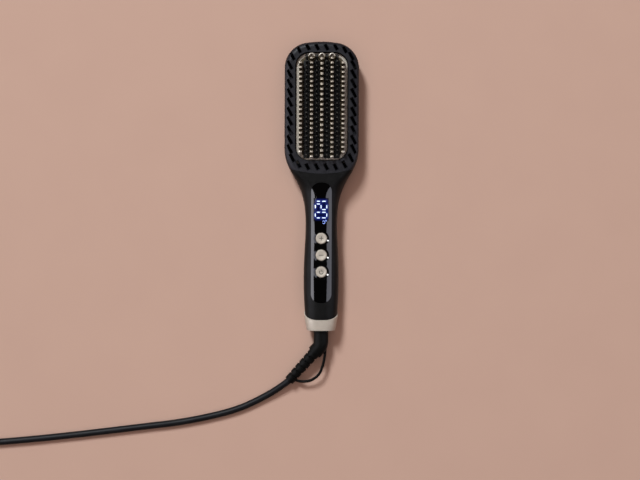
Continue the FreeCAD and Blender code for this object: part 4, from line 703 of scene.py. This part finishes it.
# ---------------------------------------------------------------- end cap and swivel
# Champagne lacquered collar that closes the handle, brushed lengthways under its lacquer;
# inside it the white acetal bush and contact disc that the lead's guard turns in.
cap_metal, cap_shader = new_finish("cap_metal", (0.525, 0.47, 0.405), 0.44, metal=0.15)
lengthways = cloud(cap_metal, 0.25 * MM, stretch=(1, 40, 1))
vary(cap_metal, cap_shader, "Base Color", cloud(cap_metal, 6 * MM), (0.495, 0.445, 0.38),
     (0.555, 0.50, 0.43))
vary(cap_metal, cap_shader, "Roughness", lengthways, 0.38, 0.50)
relief(cap_metal, cap_shader, lengthways, 0.003 * MM)
dress(cap_metal, "end_cap")
dress(acetal, "swivel_bush", "slip_disc")

# ---------------------------------------------------------------- screws
# Zinc-plated pan-head screws, sunk in pockets of the rear shell, each with a cross recess
# drawn as a flat black cross of painted shade just off its head.
screw_steel = plain_metal("screw_steel", (0.55, 0.55, 0.56), 0.30, run=(1, 1, 6))
dress(screw_steel, "housing_screws", "frame_screws")
SCREW_PLACES = {"frame_screws": [(-29.8, 50), (29.8, 50), (-29.8, 100), (29.8, 100)],
                "housing_screws": [(-14, 7), (14, 7), (0, -108.5)]}
CROSS_REACH, CROSS_HALF_WIDTH, CROSS_PROUD = 1.25, 0.33, 0.015
# A cross is one face, its twelve corners in the order that turns it towards -Z.
inner, outer = CROSS_HALF_WIDTH, CROSS_REACH
cross_outline = np.array([
    (-outer, -inner), (-outer, inner), (-inner, inner), (-inner, outer), (inner, outer),
    (inner, inner), (outer, inner), (outer, -inner), (inner, -inner), (inner, -outer),
    (-inner, -outer), (-inner, -inner)])
corners = len(cross_outline)
cross_places = []
for name, places in SCREW_PLACES.items():
    level = np.full(corners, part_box(name)[0][2] / MM - CROSS_PROUD)
    for place in places:
        cross_places.append(np.column_stack([cross_outline + place, level]))
cross_faces = np.arange(corners * len(cross_places)).reshape(-1, corners)
# The crosses are painted shade: black faces where the recesses' dark hollows would be.
recess_shade = surface_mesh("screw_recess_shade", np.concatenate(cross_places), cross_faces, part_black)
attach(recess_shade, "brush")

# ---------------------------------------------------------------- cord guard, loop and plug
# One rubber moulding on the lead: smooth turning neck, then a ribbed sleeve that bends with
# the flex; the hanging strap runs from one to the other.  The plug is of the same rubber.
rubber = moulded("rubber_black", (0.0035, 0.0035, 0.0033), (0.0055, 0.0053, 0.0050), 0.42,
                 grain=0.5 * MM, depth=0.015 * MM, gloss=0.055)
dress(rubber, "cord_guard", "hang_loop", "mains_plug")
plated = plain_metal("plated_brass", (0.75, 0.72, 0.64), 0.22, size=0.2 * MM)
dress(plated, "plug_pins")
